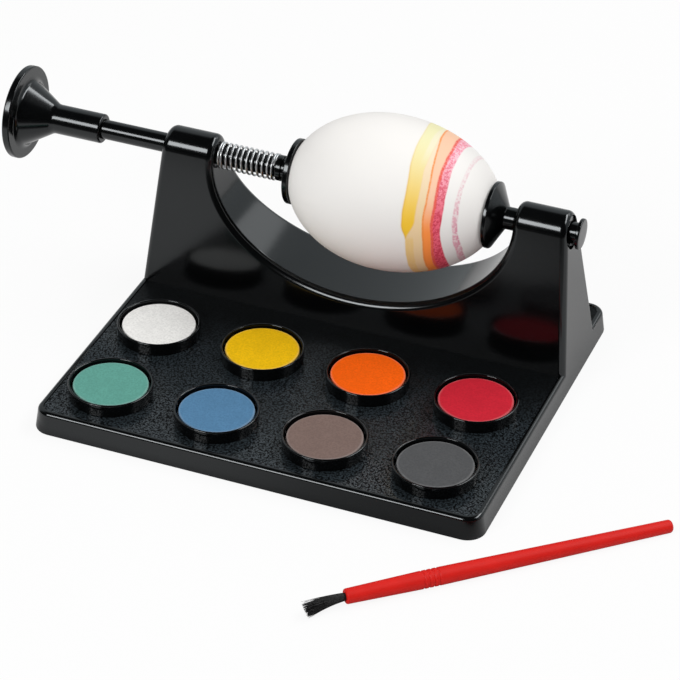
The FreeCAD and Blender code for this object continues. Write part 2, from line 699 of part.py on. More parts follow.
def make_spring(doc, s, at):
    """The helical spring that presses the washer and the left cup towards the egg."""
    axis_y, axis_z = axis_point(s)
    start = at.left_face + s["face_gap"] + s["wire_radius"]
    length = at.washer_end - s["face_gap"] - s["wire_radius"] - start
    along_x = FreeCAD.Rotation(Vector(0, 1, 0), 90)
    helix = doc.addObject("Part::Helix", "spring_path")
    bind(helix, Pitch=length / s["spring_turns"], Height=length, Radius=s["spring_radius"])
    helix.Placement = FreeCAD.Placement(Vector(), along_x)
    place(helix, start, axis_y, axis_z)
    wire = doc.addObject("Part::Circle", "spring_wire")
    bind(wire, Radius=s["wire_radius"])
    wire.Placement = FreeCAD.Placement(Vector(), FreeCAD.Rotation(Vector(1, 0, 0), 90))
    place(wire, start, axis_y, axis_z - s["spring_radius"])
    doc.recompute()
    spring = doc.addObject("Part::Sweep", "return_spring")
    spring.Sections = [wire]
    spring.Spine = (helix, ["Edge%d" % (number + 1) for number in range(len(helix.Shape.Edges))])
    spring.Solid = True
    spring.Frenet = True
    doc.recompute()
    return spring


def half_ellipsoid(doc, s, at, label, length, turn):
    """Half an egg, turned so that its end points along the spindle."""
    axis_y, axis_z = axis_point(s)
    half = doc.addObject("Part::Ellipsoid", label)
    bind(half, Radius1=length, Radius2=s["egg_radius"], Radius3=s["egg_radius"])
    half.Angle1 = 0
    half.Angle2 = 90
    half.Placement = FreeCAD.Placement(Vector(), FreeCAD.Rotation(Vector(0, 1, 0), turn))
    place(half, at.egg, axis_y, axis_z)
    return half


def make_egg(doc, s, at):
    """A hen's egg: a blunt half and a longer, pointed half on one widest circle."""
    blunt = half_ellipsoid(doc, s, at, "egg_blunt_half", s["egg_blunt"], -90)
    pointed = half_ellipsoid(doc, s, at, "egg_pointed_half", s["egg_point"], 90)
    egg = doc.addObject("Part::MultiFuse", "egg")
    egg.Shapes = [blunt, pointed]
    doc.recompute()
    return egg


# ---- the brush ----

def lay_brush(body, s):
    """Lay the brush on the table: its handle touches it from the grip rings to the tail."""
    grip = s["bristle_length"] + s["ring_place"] + (RING_COUNT - 0.25) * s["ring_pitch"]
    tail = s["bristle_length"] + s["handle_length"]
    slope = (s["ring_radius"] - s["handle_tail"]) / (tail - grip)
    height = s["ring_radius"] + grip * slope
    place_text = "create(<<placement>>; create(<<vector>>; %s; %s; %s); create(<<rotation>>; %s; atan(%s); 0))"
    tip_y = -(s["base_depth"] / 2 + s["brush_tip_y"])
    body.setExpression("Placement", place_text % (s["brush_tip_x"].text, tip_y.text, height.text,
                                                  s["brush_yaw"].text, slope.text))


def make_brush(doc, s):
    """The brush: bristles set in a turned handle with three grip rings."""
    bristles_end = s["bristle_length"] + s["bristle_socket"]
    hair, _ = turned_part(doc, "brush_bristles", (
        (0, 0), (0, s["bristle_tip"]), (s["bristle_length"], s["bristle_root"]),
        (bristles_end, s["bristle_root"]), (bristles_end, 0)), (0, 0, 0))
    bore = s["bristle_root"] + s["press_gap"]
    socket_end = bristles_end + s["seat_gap"]
    first_ring = s["bristle_length"] + s["ring_place"]
    valley = s["ring_radius"] - s["ring_groove"]
    crest = s["ring_pitch"] / 4
    corners = [(socket_end, 0), (socket_end, bore), (s["bristle_length"], bore),
               (s["bristle_length"], s["handle_nose"]), (first_ring - 3 * crest, s["ring_radius"])]
    for ring in range(RING_COUNT):
        middle_x = first_ring + ring * s["ring_pitch"]
        corners += [(middle_x - 2 * crest, valley), (middle_x - crest, s["ring_radius"]),
                    (middle_x + crest, s["ring_radius"])]
    tail_end = s["bristle_length"] + s["handle_length"]
    corners += [(middle_x + 2 * crest, valley), (middle_x + 3 * crest, s["ring_radius"]),
                (tail_end, s["handle_tail"]), (tail_end, 0)]
    handle, turned = turned_part(doc, "brush_handle", corners, (0, 0, 0))
    tail_edges = find_edges(turned.Shape, rim_at(tail_end, s["handle_tail"]))
    tailed = dress_edges(handle, "Fillet", turned, tail_edges, s["handle_tail"] * 0.9)
    doc.recompute()
    nose_edges = find_edges(tailed.Shape, rim_at(s["bristle_length"], s["handle_nose"]))
    dress_edges(handle, "Fillet", tailed, nose_edges, s["nose_edge"])
    for body in (hair, handle):
        lay_brush(body, s)
    doc.recompute()
    return {"brush_bristles": hair, "brush_handle": handle}


# ---- the whole ----

def check_document(doc, parts):
    """Stop on a failed feature or an invalid sub-part."""
    for item in doc.Objects:
        if "Invalid" in item.State or "Error" in item.State:
            raise RuntimeError("%s failed: %s" % (item.Name, item.State))
    for label, item in parts.items():
        if item.Shape.isNull() or not item.Shape.isValid() or len(item.Shape.Solids) != 1:
            raise RuntimeError("%s is not one valid solid" % label)


def main():
    doc = FreeCAD.newDocument("egg_painting_machine")
    s = make_sheet(doc)
    at = Stations(s)
    axis_place = (0,) + axis_point(s)
    parts = {"base_housing": make_housing(doc, s)}
    parts.update(make_paints(doc, s))
    parts["turning_knob"] = make_knob(doc, s, at, axis_place)
    parts["drive_spindle"] = make_drive_spindle(doc, s, at, axis_place)
    parts["thrust_washer"] = make_washer(doc, s, at, axis_place)
    parts["return_spring"] = make_spring(doc, s, at)
    parts["egg"] = make_egg(doc, s, at)
    parts["idler_spindle"] = make_idler_spindle(doc, s, at, axis_place)
    parts["end_cap"] = make_end_cap(doc, s, at, axis_place)
    parts.update(make_brush(doc, s))
    doc.recompute()
    check_document(doc, parts)
    os.makedirs("parts", exist_ok=True)
    for label, item in parts.items():
        item.Label = label
        item.Shape.exportStep(os.path.join("parts", label + ".step"))
        box = item.Shape.BoundBox
        print("%-16s %8.1f mm3  X %7.2f %7.2f  Y %7.2f %7.2f  Z %6.2f %6.2f" % (
            label, item.Shape.Volume, box.XMin, box.XMax, box.YMin, box.YMax, box.ZMin, box.ZMax))


main()
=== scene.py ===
"""Looks of an egg-painting spin machine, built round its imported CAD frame.

Sizes are written in millimetres and every mesh is stored in metres. +X runs along the spindle away from the
turning knob, +Y to the back and +Z up; the origin is the centre of the base's underside.
"""
from __future__ import annotations

import logging
import math
from dataclasses import dataclass
from enum import Enum
from typing import Callable, Iterable, Sequence, Union

import bmesh
import bpy
from bpy.types import ID, Material, Mesh, Node, NodeSocket, NodeTree, Object
from mathutils import Matrix, Vector

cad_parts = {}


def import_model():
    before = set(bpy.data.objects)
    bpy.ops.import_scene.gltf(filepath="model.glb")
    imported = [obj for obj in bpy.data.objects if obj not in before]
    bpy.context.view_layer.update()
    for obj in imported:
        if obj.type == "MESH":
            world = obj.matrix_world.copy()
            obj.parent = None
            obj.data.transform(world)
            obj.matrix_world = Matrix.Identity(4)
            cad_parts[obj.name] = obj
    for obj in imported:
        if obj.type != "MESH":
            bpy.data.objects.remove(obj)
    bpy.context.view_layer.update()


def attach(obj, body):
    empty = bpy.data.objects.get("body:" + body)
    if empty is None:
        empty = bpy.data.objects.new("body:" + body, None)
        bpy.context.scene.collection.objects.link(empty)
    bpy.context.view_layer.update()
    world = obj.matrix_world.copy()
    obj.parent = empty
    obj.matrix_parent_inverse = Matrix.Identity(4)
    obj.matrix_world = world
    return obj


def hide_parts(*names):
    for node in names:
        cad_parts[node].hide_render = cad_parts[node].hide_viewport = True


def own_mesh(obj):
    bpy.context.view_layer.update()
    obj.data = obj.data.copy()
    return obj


LOG = logging.getLogger("egg_machine")
MM = 0.001
BASE_DEPTH = 114.0
PANEL_HEIGHT = 6.3
AXIS_HEIGHT = 47.0
AXIS_SETBACK = 84.7
AXIS_Y = AXIS_SETBACK - BASE_DEPTH / 2
AXIS = (0.0, AXIS_Y, AXIS_HEIGHT)
PRESS_GAP = 0.02
RUNNING_GAP = 0.06
SHARP_ANGLE = 32.0
GOLDEN_ANGLE = math.pi * (3 - math.sqrt(5))

Number = Union[float, "Wire"]
Colour = tuple[float, float, float]
Profile = list[tuple[float, float]]
Corners = Sequence[Sequence[float]]


# ---- node trees ----

class Wire:
    """A node's output with arithmetic: an expression on wires adds its Math nodes."""

    def __init__(self, net: Net, socket: NodeSocket) -> None:
        """Keep the net that the wire belongs to and its socket."""
        self.net = net
        self.socket = socket

    def __add__(self, other: Number) -> Wire:
        """Sum."""
        return self.net.math("ADD", self, other)

    def __radd__(self, other: Number) -> Wire:
        """Sum with a number on the left."""
        return self.net.math("ADD", other, self)

    def __sub__(self, other: Number) -> Wire:
        """Difference."""
        return self.net.math("SUBTRACT", self, other)

    def __rsub__(self, other: Number) -> Wire:
        """Difference with a number on the left."""
        return self.net.math("SUBTRACT", other, self)

    def __mul__(self, other: Number) -> Wire:
        """Product."""
        return self.net.math("MULTIPLY", self, other)

    def __rmul__(self, other: Number) -> Wire:
        """Product with a number on the left."""
        return self.net.math("MULTIPLY", other, self)

    def __truediv__(self, other: Number) -> Wire:
        """Quotient."""
        return self.net.math("DIVIDE", self, other)

    def __pow__(self, other: Number) -> Wire:
        """Power."""
        return self.net.math("POWER", self, other)


class Net:
    """A node tree that is filled by expressions and by one general method."""

    def __init__(self, tree: NodeTree) -> None:
        """Start with an empty tree."""
        self.tree = tree
        tree.nodes.clear()

    def node(self, kind: str, settings: dict | None = None, numbered: dict | None = None,
             **named: object) -> Node:
        """Add a node.

        Args:
            kind: The node's type.
            settings: Its properties, set before its sockets.
            numbered: Values or wires by a socket's number.
            named: Values or wires by a socket's name, with spaces written as underscores.

        Returns:
            The new node.
        """
        made = self.tree.nodes.new(kind)
        for name, value in (settings or {}).items():
            setattr(made, name, value)
        for number, value in (numbered or {}).items():
            self.feed(made.inputs[number], value)
        for name, value in named.items():
            self.feed(made.inputs[name.replace("_", " ")], value)
        return made

    def wire(self, kind: str, output: int | str = 0, settings: dict | None = None,
             numbered: dict | None = None, **named: object) -> Wire:
        """One output of a node that is added as node() does."""
        return Wire(self, self.node(kind, settings, numbered, **named).outputs[output])

    def feed(self, socket: NodeSocket, value: object) -> None:
        """Link a wire to a socket, or set the socket's value."""
        if isinstance(value, Wire):
            self.tree.links.new(value.socket, socket)
        elif socket.type == "RGBA":
            socket.default_value = (*value, 1)
        else:
            socket.default_value = value

    def math(self, operation: str, *values: Number) -> Wire:
        """A Math node on up to three numbers or wires."""
        return self.wire("ShaderNodeMath", 0, {"operation": operation}, dict(enumerate(values)))

    def ramp_up(self, value: Number, low: float, high: float) -> Wire:
        """A smooth step from 0 at low to 1 at high; high may be the smaller one."""
        return self.wire("ShaderNodeMapRange", "Result", {"interpolation_type": "SMOOTHSTEP"},
                         Value=value, From_Min=low, From_Max=high)

    def band(self, value: Number, low: Number, high: Number, soft: float) -> Wire:
        """A mask that is 1 between low and high, with soft edges."""
        return self.ramp_up(value - low, -soft, soft) * self.ramp_up(value - high, soft, -soft)

    def mix(self, mask: Number, first: Colour | Wire, second: Colour | Wire) -> Wire:
        """A colour between two colours or wires."""
        return self.wire("ShaderNodeMix", 2, {"data_type": "RGBA", "clamp_factor": True},
                         {0: mask, 6: first, 7: second})

    def place(self) -> Wire:
        """The object coordinates, in metres."""
        return self.wire("ShaderNodeTexCoord", "Object")

    def axes(self) -> tuple[Wire, Wire, Wire]:
        """The object coordinates as three wires in millimetres."""
        split = self.node("ShaderNodeSeparateXYZ", Vector=self.place())
        return tuple(Wire(self, output) * (1 / MM) for output in split.outputs)

    def vector(self, x: Number, y: Number, z: Number) -> Wire:
        """Three numbers as a vector."""
        return self.wire("ShaderNodeCombineXYZ", X=x, Y=y, Z=z)

    def noise(self, size: float, detail: float = 2.0, rough: float = 0.5, where: Wire | None = None) -> Wire:
        """Noise from 0 to 1 with blobs about size millimetres across, or at a vector of its own."""
        return self.wire("ShaderNodeTexNoise", "Fac", Vector=where or self.place(),
                         Scale=1 / (size * MM), Detail=detail, Roughness=rough)

    def cells(self, size: float) -> Wire:
        """The distance inside smooth Voronoi cells about size millimetres across."""
        return self.wire("ShaderNodeTexVoronoi", "Distance", {"feature": "SMOOTH_F1"},
                         Vector=self.place(), Scale=1 / (size * MM))

    def bump(self, height: Number, depth: float, strength: float = 1.0) -> Wire:
        """A normal from a height of 0 to 1 that stands for depth millimetres."""
        return self.wire("ShaderNodeBump", Height=height, Distance=depth * MM, Strength=strength)

    def surface(self, **sockets: object) -> Wire:
        """A Principled BSDF."""
        return self.wire("ShaderNodeBsdfPrincipled", **sockets)

    def given(self, name: str) -> Wire:
        """A named input of the tree."""
        return self.wire("NodeGroupInput", name)


# ---- finishes ----

@dataclass(frozen=True)
class Finish:
    """A named surface finish; its material is made once."""

    name: str

    def material(self) -> Material:
        """The finish as a material."""
        found = bpy.data.materials.get(self.name)
        if found:
            return found
        made = bpy.data.materials.new(self.name)
        made.use_nodes = True
        net = Net(made.node_tree)
        net.node("ShaderNodeOutputMaterial", Surface=self.shade(net))
        return made

    def shade(self, net: Net) -> Wire:
        """The shader of the finish."""
        raise NotImplementedError


@dataclass(frozen=True)
class PolishedPlastic(Finish):
    """Black moulded plastic with a faint flow pattern, specks of dust and shallow dents."""

    base: Colour = (0.0008, 0.0009, 0.001)
    worn: Colour = (0.002, 0.0022, 0.0024)
    gloss: float = 0.1
    peel: float = 0.3
    tint: Colour = (0.93, 0.975, 1.0)

    def shade(self, net: Net) -> Wire:
        """Clouds vary the gloss, and small dents bend the reflections a little."""
        clouds = net.noise(14.0, detail=3.0)
        dust = net.ramp_up(net.noise(0.5), 0.68, 0.8)
        dents = net.noise(2.2, detail=1.0) * 0.6 + net.noise(9.0, detail=1.0) * 0.4
        rough = self.gloss + clouds * 0.05 + dust * 0.12
        return net.surface(Base_Color=net.mix(clouds, self.base, self.worn), Roughness=rough,
                           Specular_Tint=self.tint, Normal=net.bump(dents, 0.012, self.peel), IOR=1.5)


@dataclass(frozen=True)
class GrainedPlastic(Finish):
    """The palette's panel: dull black plastic whose fine leathery grain has polished crests, painted paler as
    glints and painted darker towards the yoke as its shade.
    """

    base: Colour = (0.0008, 0.0009, 0.001)
    # the crests' colour: a painted glint, paler than the black base
    crest: Colour = (0.026, 0.033, 0.038)
    grain: float = 0.55
    depth: float = 0.03
    tint: Colour = (0.9, 0.96, 1.0)
    # the next three: where the yoke's painted shade on the crests is full, where it ends, and the share of
    # the crests that it leaves
    full_shade_y: float = 11.0
    no_shade_y: float = -14.0
    crest_share_in_shade: float = 0.12

    def shade(self, net: Net) -> Wire:
        """Smooth cells and fine noise make the grain; its crests carry the gloss and a paler colour that is a
        painted glint, least so towards the yoke, where the fade is painted shade.
        """
        height = (1.0 - net.cells(self.grain)) * 0.4 + net.noise(self.grain * 0.6, rough=0.6) * 0.6
        _, y, _ = net.axes()
        # worn is a painted shade: 1 at the front, falling towards the yoke, where it dims the crests' painted
        # glint colour and their gloss
        worn = net.ramp_up(y, self.full_shade_y, self.no_shade_y)
        crest = net.ramp_up(height, 0.46, 0.62) * (worn * (1 - self.crest_share_in_shade) + self.crest_share_in_shade)
        return net.surface(Base_Color=net.mix(crest, self.base, self.crest), Roughness=0.36 + crest * 0.06,
                           Specular_IOR_Level=0.06, Specular_Tint=self.tint, Coat_Weight=crest,
                           Coat_Roughness=0.17, Coat_IOR=1.5, Coat_Tint=(0.94, 0.98, 1.0),
                           Normal=net.bump(height, self.depth), IOR=1.5)


@dataclass(frozen=True)
class PaintCake(Finish):
    """A pressed watercolour tablet: powdery, speckled, paler at its rim."""

    paint: Colour
    middle_x: float
    middle_y: float
    radius: float
    speckle: float = 0.17

    def shade(self, net: Net) -> Wire:
        """The distance from the tablet's middle gives the rim."""
        x, y, _ = net.axes()
        out = net.math("SQRT", (x - self.middle_x) ** 2.0 + (y - self.middle_y) ** 2.0)
        rim = net.ramp_up(out + net.noise(3.0) * 0.6, self.radius - 0.45, self.radius + 0.35)
        grains = net.noise(0.6, detail=3.0, rough=0.7)
        clouds = net.noise(4.0, detail=3.0)
        dark = tuple(channel * (1 - self.speckle) for channel in self.paint)
        pale = tuple(channel + (0.8 - channel) * 0.16 for channel in self.paint)
        body = net.mix(net.ramp_up(grains, 0.35, 0.62), dark, self.paint)
        body = net.mix(net.ramp_up(clouds, 0.4, 0.65) * 0.38, body, dark)
        body = net.mix(rim * 0.7, body, pale)
        return net.surface(Base_Color=body, Roughness=0.75 + grains * 0.15, Specular_IOR_Level=0.1,
                           Normal=net.bump(grains * 0.6 + clouds * 0.4, 0.05))


@dataclass(frozen=True)
class PaintedShell(Finish):
    """Eggshell with thin watercolour rings near its pointed end.

    The rings' edges are stations along the spindle. They drift as the angle round the egg grows from 0 at its
    top over 90 degrees at its front, and come back where nobody has painted, under the egg.
    """

    shell: Colour = (0.78, 0.763, 0.741)
    pale: Colour = (0.812, 0.793, 0.768)

    def shade(self, net: Net) -> Wire:
        """Wash the rings over the shell, one after another."""
        x, y, z = net.axes()
        turn = net.math("ARCTAN2", AXIS_Y - y, z - AXIS_HEIGHT) * (180 / math.pi)
        wobble = net.noise(6.0) - 0.5
        grains = net.noise(0.75, detail=3.0, rough=0.75)
        speck = net.ramp_up(grains, 0.42, 0.58)
        streaks = net.noise(1.0, where=net.vector(x * 1.3, turn * 0.02, 0.0))
        dabs = net.ramp_up(net.noise(0.7), 0.38, 0.58)
        painted = net.ramp_up(turn, 172.0, 135.0)
        load = net.ramp_up(turn, 0.0, 84.0)
        drop = net.ramp_up(turn, 93.5, 91.5)
        deep = net.ramp_up(turn, 50.0, 88.0) * painted
        full = net.ramp_up(turn, -4.0, 80.0) * painted
        strength = 0.28 + net.ramp_up(turn, 10.0, 95.0) * painted * 0.68

        def edge(start: float, *drifts: tuple[float, float, float]) -> Wire:
            """A ring's edge: each drift is (from degrees, to degrees, millimetres)."""
            moved = wobble * 0.5
            for low, high, reach in drifts:
                moved = moved + net.ramp_up(turn, low, high) * painted * reach
            return moved + start

        yellow = edge(14.7, (-40, 5, 1.7), (15, 60, 1.5), (80, 93, 1.5))
        yellow_end = edge(20.7, (-20, 10, 0.3), (30, 60, 0.5), (76, 93, -1.9))
        orange = edge(19.5, (-50, 60, 3.9), (70, 100, 0.4))
        red = edge(24.0, (-40, 10, 1.0), (35, 62, 0.5), (75, 95, 0.4))
        red_end = edge(27.5, (20, 60, 0.55), (80, 125, 1.0))
        pink = edge(30.6, (75, 90, 0.4), (95, 117, 0.7))
        pink_end = edge(31.5, (30, 75, 0.4), (78, 117, 1.2))
        lemon = net.mix(streaks, (0.78, 0.76, 0.43), (0.76, 0.71, 0.30))
        cream = net.mix(load, (0.82, 0.66, 0.44), (0.80, 0.54, 0.22))
        peach = net.mix(streaks, (0.86, 0.56, 0.38), (0.85, 0.46, 0.27))
        rose = net.mix(speck, (0.85, 0.56, 0.63), (0.80, 0.20, 0.29))
        crimson = net.mix(speck, (0.80, 0.10, 0.17), (0.58, 0.017, 0.055))
        # each wash: left edge, right edge, softness of both, strength, paint
        washes = (
            (yellow, yellow_end, 0.2, drop * (0.8 + load * 0.18), net.mix(load, lemon, (0.85, 0.51, 0.012))),
            (yellow_end - 1.7, yellow_end + 0.1, 0.3, net.ramp_up(turn, 36.0, 8.0) * 0.7, (0.80, 0.74, 0.58)),
            (yellow - 0.15, yellow + 0.3, 0.25, drop * (0.15 + load * 0.4), (0.70, 0.38, 0.02)),
            (edge(19.4), edge(21.4), 0.25, net.ramp_up(turn, 88.0, 94.0) * painted * (0.75 + speck * 0.2),
             (0.79, 0.60, 0.21)),
            (yellow_end - 0.2, orange + 0.3, 0.25, 0.6 + streaks * 0.35, cream),
            (orange, red, 0.15, 0.92 + deep * 0.06, net.mix(deep, peach, (0.95, 0.27, 0.04))),
            (orange - 0.12, orange + 0.35, 0.14, 0.65 + speck * 0.3, (0.82, 0.25, 0.05)),
            (red, red_end, 0.18, 0.97, net.mix(full, rose, crimson)),
            (red - 0.1, red + 0.6, 0.2, 0.7 + speck * 0.25, (0.76, 0.10, 0.055)),
            (pink, pink_end, 0.2, (0.35 + dabs * 0.6) * strength, (0.68, 0.30, 0.38)),
            (pink_end - 0.35, pink_end, 0.15, dabs * strength * 0.6, (0.62, 0.2, 0.3)),
        )
        colour = net.mix(net.noise(16.0), self.shell, self.pale)
        for left, right, soft, share, paint in washes:
            colour = net.mix(net.band(x, left, right, soft) * share, colour, paint)

        pores = net.noise(0.35)
        return net.surface(Base_Color=colour, Roughness=0.55 + grains * 0.12, Specular_IOR_Level=0.3,
                           Normal=net.bump(pores * 0.5 + net.noise(2.5) * 0.5, 0.03))


@dataclass(frozen=True)
class SpringWire(Finish):
    """Bright drawn wire."""

    def shade(self, net: Net) -> Wire:
        """Fine draw marks in the gloss."""
        marks = net.noise(3.0)
        return net.surface(Base_Color=net.mix(marks, (0.70, 0.71, 0.72), (0.58, 0.59, 0.60)), Metallic=1.0,
                           Roughness=0.33 + marks * 0.06)


@dataclass(frozen=True)
class Lacquer(Finish):
    """Satin red lacquer, slightly uneven, with thin spots."""

    base: Colour = (0.63, 0.010, 0.006)

    def shade(self, net: Net) -> Wire:
        """Clouds vary the colour and the gloss."""
        clouds = net.noise(5.0)
        thin = net.ramp_up(net.noise(1.7), 0.66, 0.8)
        deep = tuple(channel * 0.8 for channel in self.base)
        colour = net.mix(thin * 0.35, net.mix(clouds, deep, self.base), (0.32, 0.02, 0.008))
        return net.surface(Base_Color=colour, Roughness=0.42 + clouds * 0.12, Specular_IOR_Level=0.18,
                           Normal=net.bump(net.noise(1.4), 0.012, 0.6))


@dataclass(frozen=True)
class Hair(Finish):
    """Dark brush hair with slightly browner strands."""

    def shade(self, net: Net) -> Wire:
        """Strands differ in colour."""
        strands = net.noise(0.25, detail=1.0)
        return net.surface(Base_Color=net.mix(strands, (0.004, 0.004, 0.0045), (0.014, 0.013, 0.013)),
                           Roughness=0.34 + strands * 0.15, Normal=net.bump(strands, 0.02))


@dataclass(frozen=True)
class StudioFloor(Finish):
    """A white sweep that keeps soft shadows and is nearly white to the camera."""

    glow: float = 0.9
    white: Colour = (0.71, 0.71, 0.71)
    dark: Colour = (0.03, 0.03, 0.03)
    table_end: float = -175.0
    table_fade: float = -105.0

    def shade(self, net: Net) -> Wire:
        """The eye sees part of the white as light; gloss sees the white table end some way in front, and a
        painted shade on the floor to the front right.
        """
        path = net.node("ShaderNodeLightPath")
        x, y, _ = net.axes()
        near = net.ramp_up(y, self.table_end, self.table_fade)
        # corner: a painted shade on the floor to the front right of the base, seen only in reflections
        corner = net.ramp_up(x, -35.0, 45.0) * net.ramp_up(y, -45.0, -62.0)
        seen = near * (1.0 - corner * 0.6)
        shade = (1.0 - seen) * Wire(net, path.outputs["Is Glossy Ray"])
        plain = net.surface(Base_Color=net.mix(shade, self.white, self.dark), Roughness=0.9,
                            Specular_IOR_Level=0.1)
        light = net.wire("ShaderNodeEmission", Color=(1.0, 1.0, 1.0), Strength=1.0)
        share = Wire(net, path.outputs["Is Camera Ray"]) * self.glow
        return net.wire("ShaderNodeMixShader", numbered={0: share, 1: plain, 2: light})


HOUSING = PolishedPlastic("polished housing", gloss=0.11, peel=0.75)
GRAIN = GrainedPlastic("grained palette")
PAN = PolishedPlastic("polished pan", gloss=0.05)
SPINDLE = PolishedPlastic("polished spindle", gloss=0.12)


# ---- meshes ----

class Turn(Enum):
    """The axis that a turned piece is made about."""

    SPINDLE = "x"
    UPRIGHT = "z"


def rounded(corners: Corners, steps: int = 6) -> Profile:
    """Round the corners of a profile.

    Args:
        corners: Each (along, out) or (along, out, rounding); the first and the last stay sharp.
        steps: Pieces of each arc.

    Returns:
        Points as (along, out).
    """
    spots = [Vector(corner[:2]) for corner in corners]
    points = []
    for index, (corner, here) in enumerate(zip(corners, spots)):
        if len(corner) < 3 or index in (0, len(corners) - 1):
            points.append(tuple(here))
            continue
        back, ahead = spots[index - 1] - here, spots[index + 1] - here
        half = back.angle(ahead) / 2
        reach = min(corner[2] / math.tan(half), back.length * 0.49, ahead.length * 0.49)
        radius = reach * math.tan(half)
        start, end = here + back.normalized() * reach, here + ahead.normalized() * reach
        centre = here + (back.normalized() + ahead.normalized()).normalized() * (radius / math.sin(half))
        first, last = start - centre, end - centre
        sweep = first.angle_signed(last)
        for step in range(steps + 1):
            spoke = first.copy()
            spoke.rotate(Matrix.Rotation(-sweep * step / steps, 2))
            points.append(tuple(centre + spoke))
    return points


class Piece:
    """A mesh in the making: points in millimetres, faces and the finish of each face."""

    def __init__(self, name: str, *finishes: Finish) -> None:
        """Start an empty piece."""
        self.name = name
        self.finishes = finishes
        self.points: list[Sequence[float]] = []
        self.faces: list[Sequence[int]] = []
        self.kinds: list[int] = []

    def add(self, points: Iterable[Sequence[float]]) -> list[int]:
        """Add points and return their numbers."""
        start = len(self.points)
        self.points.extend(points)
        return list(range(start, len(self.points)))

    def face(self, numbers: Sequence[int], kind: int = 0) -> None:
        """Add a face."""
        self.faces.append(tuple(numbers))
        self.kinds.append(kind)

    def band(self, first: Sequence[int], second: Sequence[int], closed: bool = True) -> None:
        """Join two loops of the same length with quads."""
        count = len(first)
        for index in range(count if closed else count - 1):
            after = (index + 1) % count
            self.face((first[index], first[after], second[after], second[index]))

    def turned(self, profile: Profile, turn: Turn, middle: Sequence[float], segments: int,
               closed: bool = False) -> None:
        """Turn a profile about an axis through middle; a closed profile makes a ring."""
        loops = []
        for along, out in profile:
            spots = []
            for number in range(1 if out < 1e-6 else segments):
                angle = 2 * math.pi * number / segments
                across, up = out * math.cos(angle), out * math.sin(angle)
                offset = (along, across, up) if turn is Turn.SPINDLE else (across, up, along)
                spots.append(tuple(a + b for a, b in zip(middle, offset)))
            loops.append(self.add(spots))
        pairs = list(zip(loops, loops[1:])) + ([(loops[-1], loops[0])] if closed else [])
        for first, second in pairs:
            pole, ring = sorted((first, second), key=len)
            if len(pole) > 1:
                self.band(first, second)
            elif len(ring) > 1:
                for index in range(segments):
                    self.face((pole[0], ring[index], ring[(index + 1) % segments]))

    def object(self, recalculate: bool = True) -> Object:
        """Make the Blender object at the world's origin, with all its faces turned outwards if asked."""
        mesh = bpy.data.meshes.new(self.name)
        mesh.from_pydata([Vector(point) * MM for point in self.points], [], self.faces)
        for finish in self.finishes:
            mesh.materials.append(finish.material())
        mesh.polygons.foreach_set("material_index", self.kinds)
        if recalculate:
            shell = bmesh.new()
            shell.from_mesh(mesh)
            bmesh.ops.recalc_face_normals(shell, faces=shell.faces)
            shell.to_mesh(mesh)
            shell.free()
        smooth_by_angle(mesh)
        return link(self.name, mesh)


def link(name: str, data: ID) -> Object:
    """Put a new object with a mesh, a light or a camera in the scene."""
    made = bpy.data.objects.new(name, data)
    bpy.context.scene.collection.objects.link(made)
    return made


def smooth_by_angle(mesh: Mesh) -> None:
    """Smooth shading, with the sharper edges kept sharp."""
    mesh.shade_smooth()
    mesh.set_sharp_from_angle(angle=math.radians(SHARP_ANGLE))
    mesh.update()


def settle(piece: Object) -> Object:
    """Turn a piece's modifiers into its plain mesh."""
    graph = bpy.context.evaluated_depsgraph_get()
    mesh = bpy.data.meshes.new_from_object(piece.evaluated_get(graph), preserve_all_data_layers=True,
                                           depsgraph=graph)
    piece.modifiers.clear()
    piece.data = mesh
    return piece


def weigh_normals(piece: Object) -> Object:
    """Let large flat faces keep their own normals."""
    piece.modifiers.new("weigh", "WEIGHTED_NORMAL").keep_sharp = True
    return settle(piece)


def turned_object(name: str, finish: Finish, profile: Profile, turn: Turn, middle: Sequence[float],
                  segments: int, closed: bool = False) -> Object:
    """A turned piece whose flat faces keep their own normals; the values are those of Piece.turned."""
    piece = Piece(name, finish)
    piece.turned(profile, turn, middle, segments, closed)
    return weigh_normals(piece.object())


def carve(target: Object, tool: Object, operation: str) -> None:
    """Join a tool to a target or cut it away, and remove the tool."""
    step = target.modifiers.new(operation.lower(), "BOOLEAN")
    step.operation = operation
    step.solver = "EXACT"
    step.object = tool
    settle(target)
    bpy.data.objects.remove(tool)


def show(piece: Object, body: str, node: str = "") -> None:
    """Hand a finished piece to the frame.

    Args:
        piece: The piece, in place.
        body: The CAD body that it moves with.
        node: The CAD node that it stands for, if any.
    """
    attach(piece, body)
    if node:
        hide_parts(node)
    LOG.info("%s: %d faces on %s", piece.name, len(piece.data.polygons), body)


def grow(name: str, finish: Finish, build: Callable[[Net], Wire], lengths: dict[str, float],
         counts: dict[str, float] | None = None) -> Object:
    """Make a piece with Geometry Nodes and turn it into a plain mesh.

    Args:
        name: The piece's name.
        finish: The finish that the tree sets at its end.
        build: Fills the tree and returns the geometry; it reads the sizes as the tree's inputs.
        lengths: Named inputs in millimetres.
        counts: Named inputs that aren't lengths.

    Returns:
        The piece, with its modifier applied.
    """
    tree = bpy.data.node_groups.new(name, "GeometryNodeTree")
    tree.interface.new_socket("Geometry", in_out="OUTPUT", socket_type="NodeSocketGeometry")
    values = {}
    for label, value in {**{key: length * MM for key, length in lengths.items()}, **(counts or {})}.items():
        socket = tree.interface.new_socket(label, in_out="INPUT", socket_type="NodeSocketFloat")
        values[socket.identifier] = value
    net = Net(tree)
    whole = net.wire("GeometryNodeRealizeInstances", Geometry=build(net))
    dressed = net.wire("GeometryNodeSetMaterial", Geometry=whole, Material=finish.material())
    net.node("NodeGroupOutput", Geometry=dressed)
    made = link(name, bpy.data.meshes.new(name))
    step = made.modifiers.new("grow", "NODES")
    step.node_group = tree
    for identifier, value in values.items():
        step[identifier] = value
    return settle(made)


# ---- the housing ----

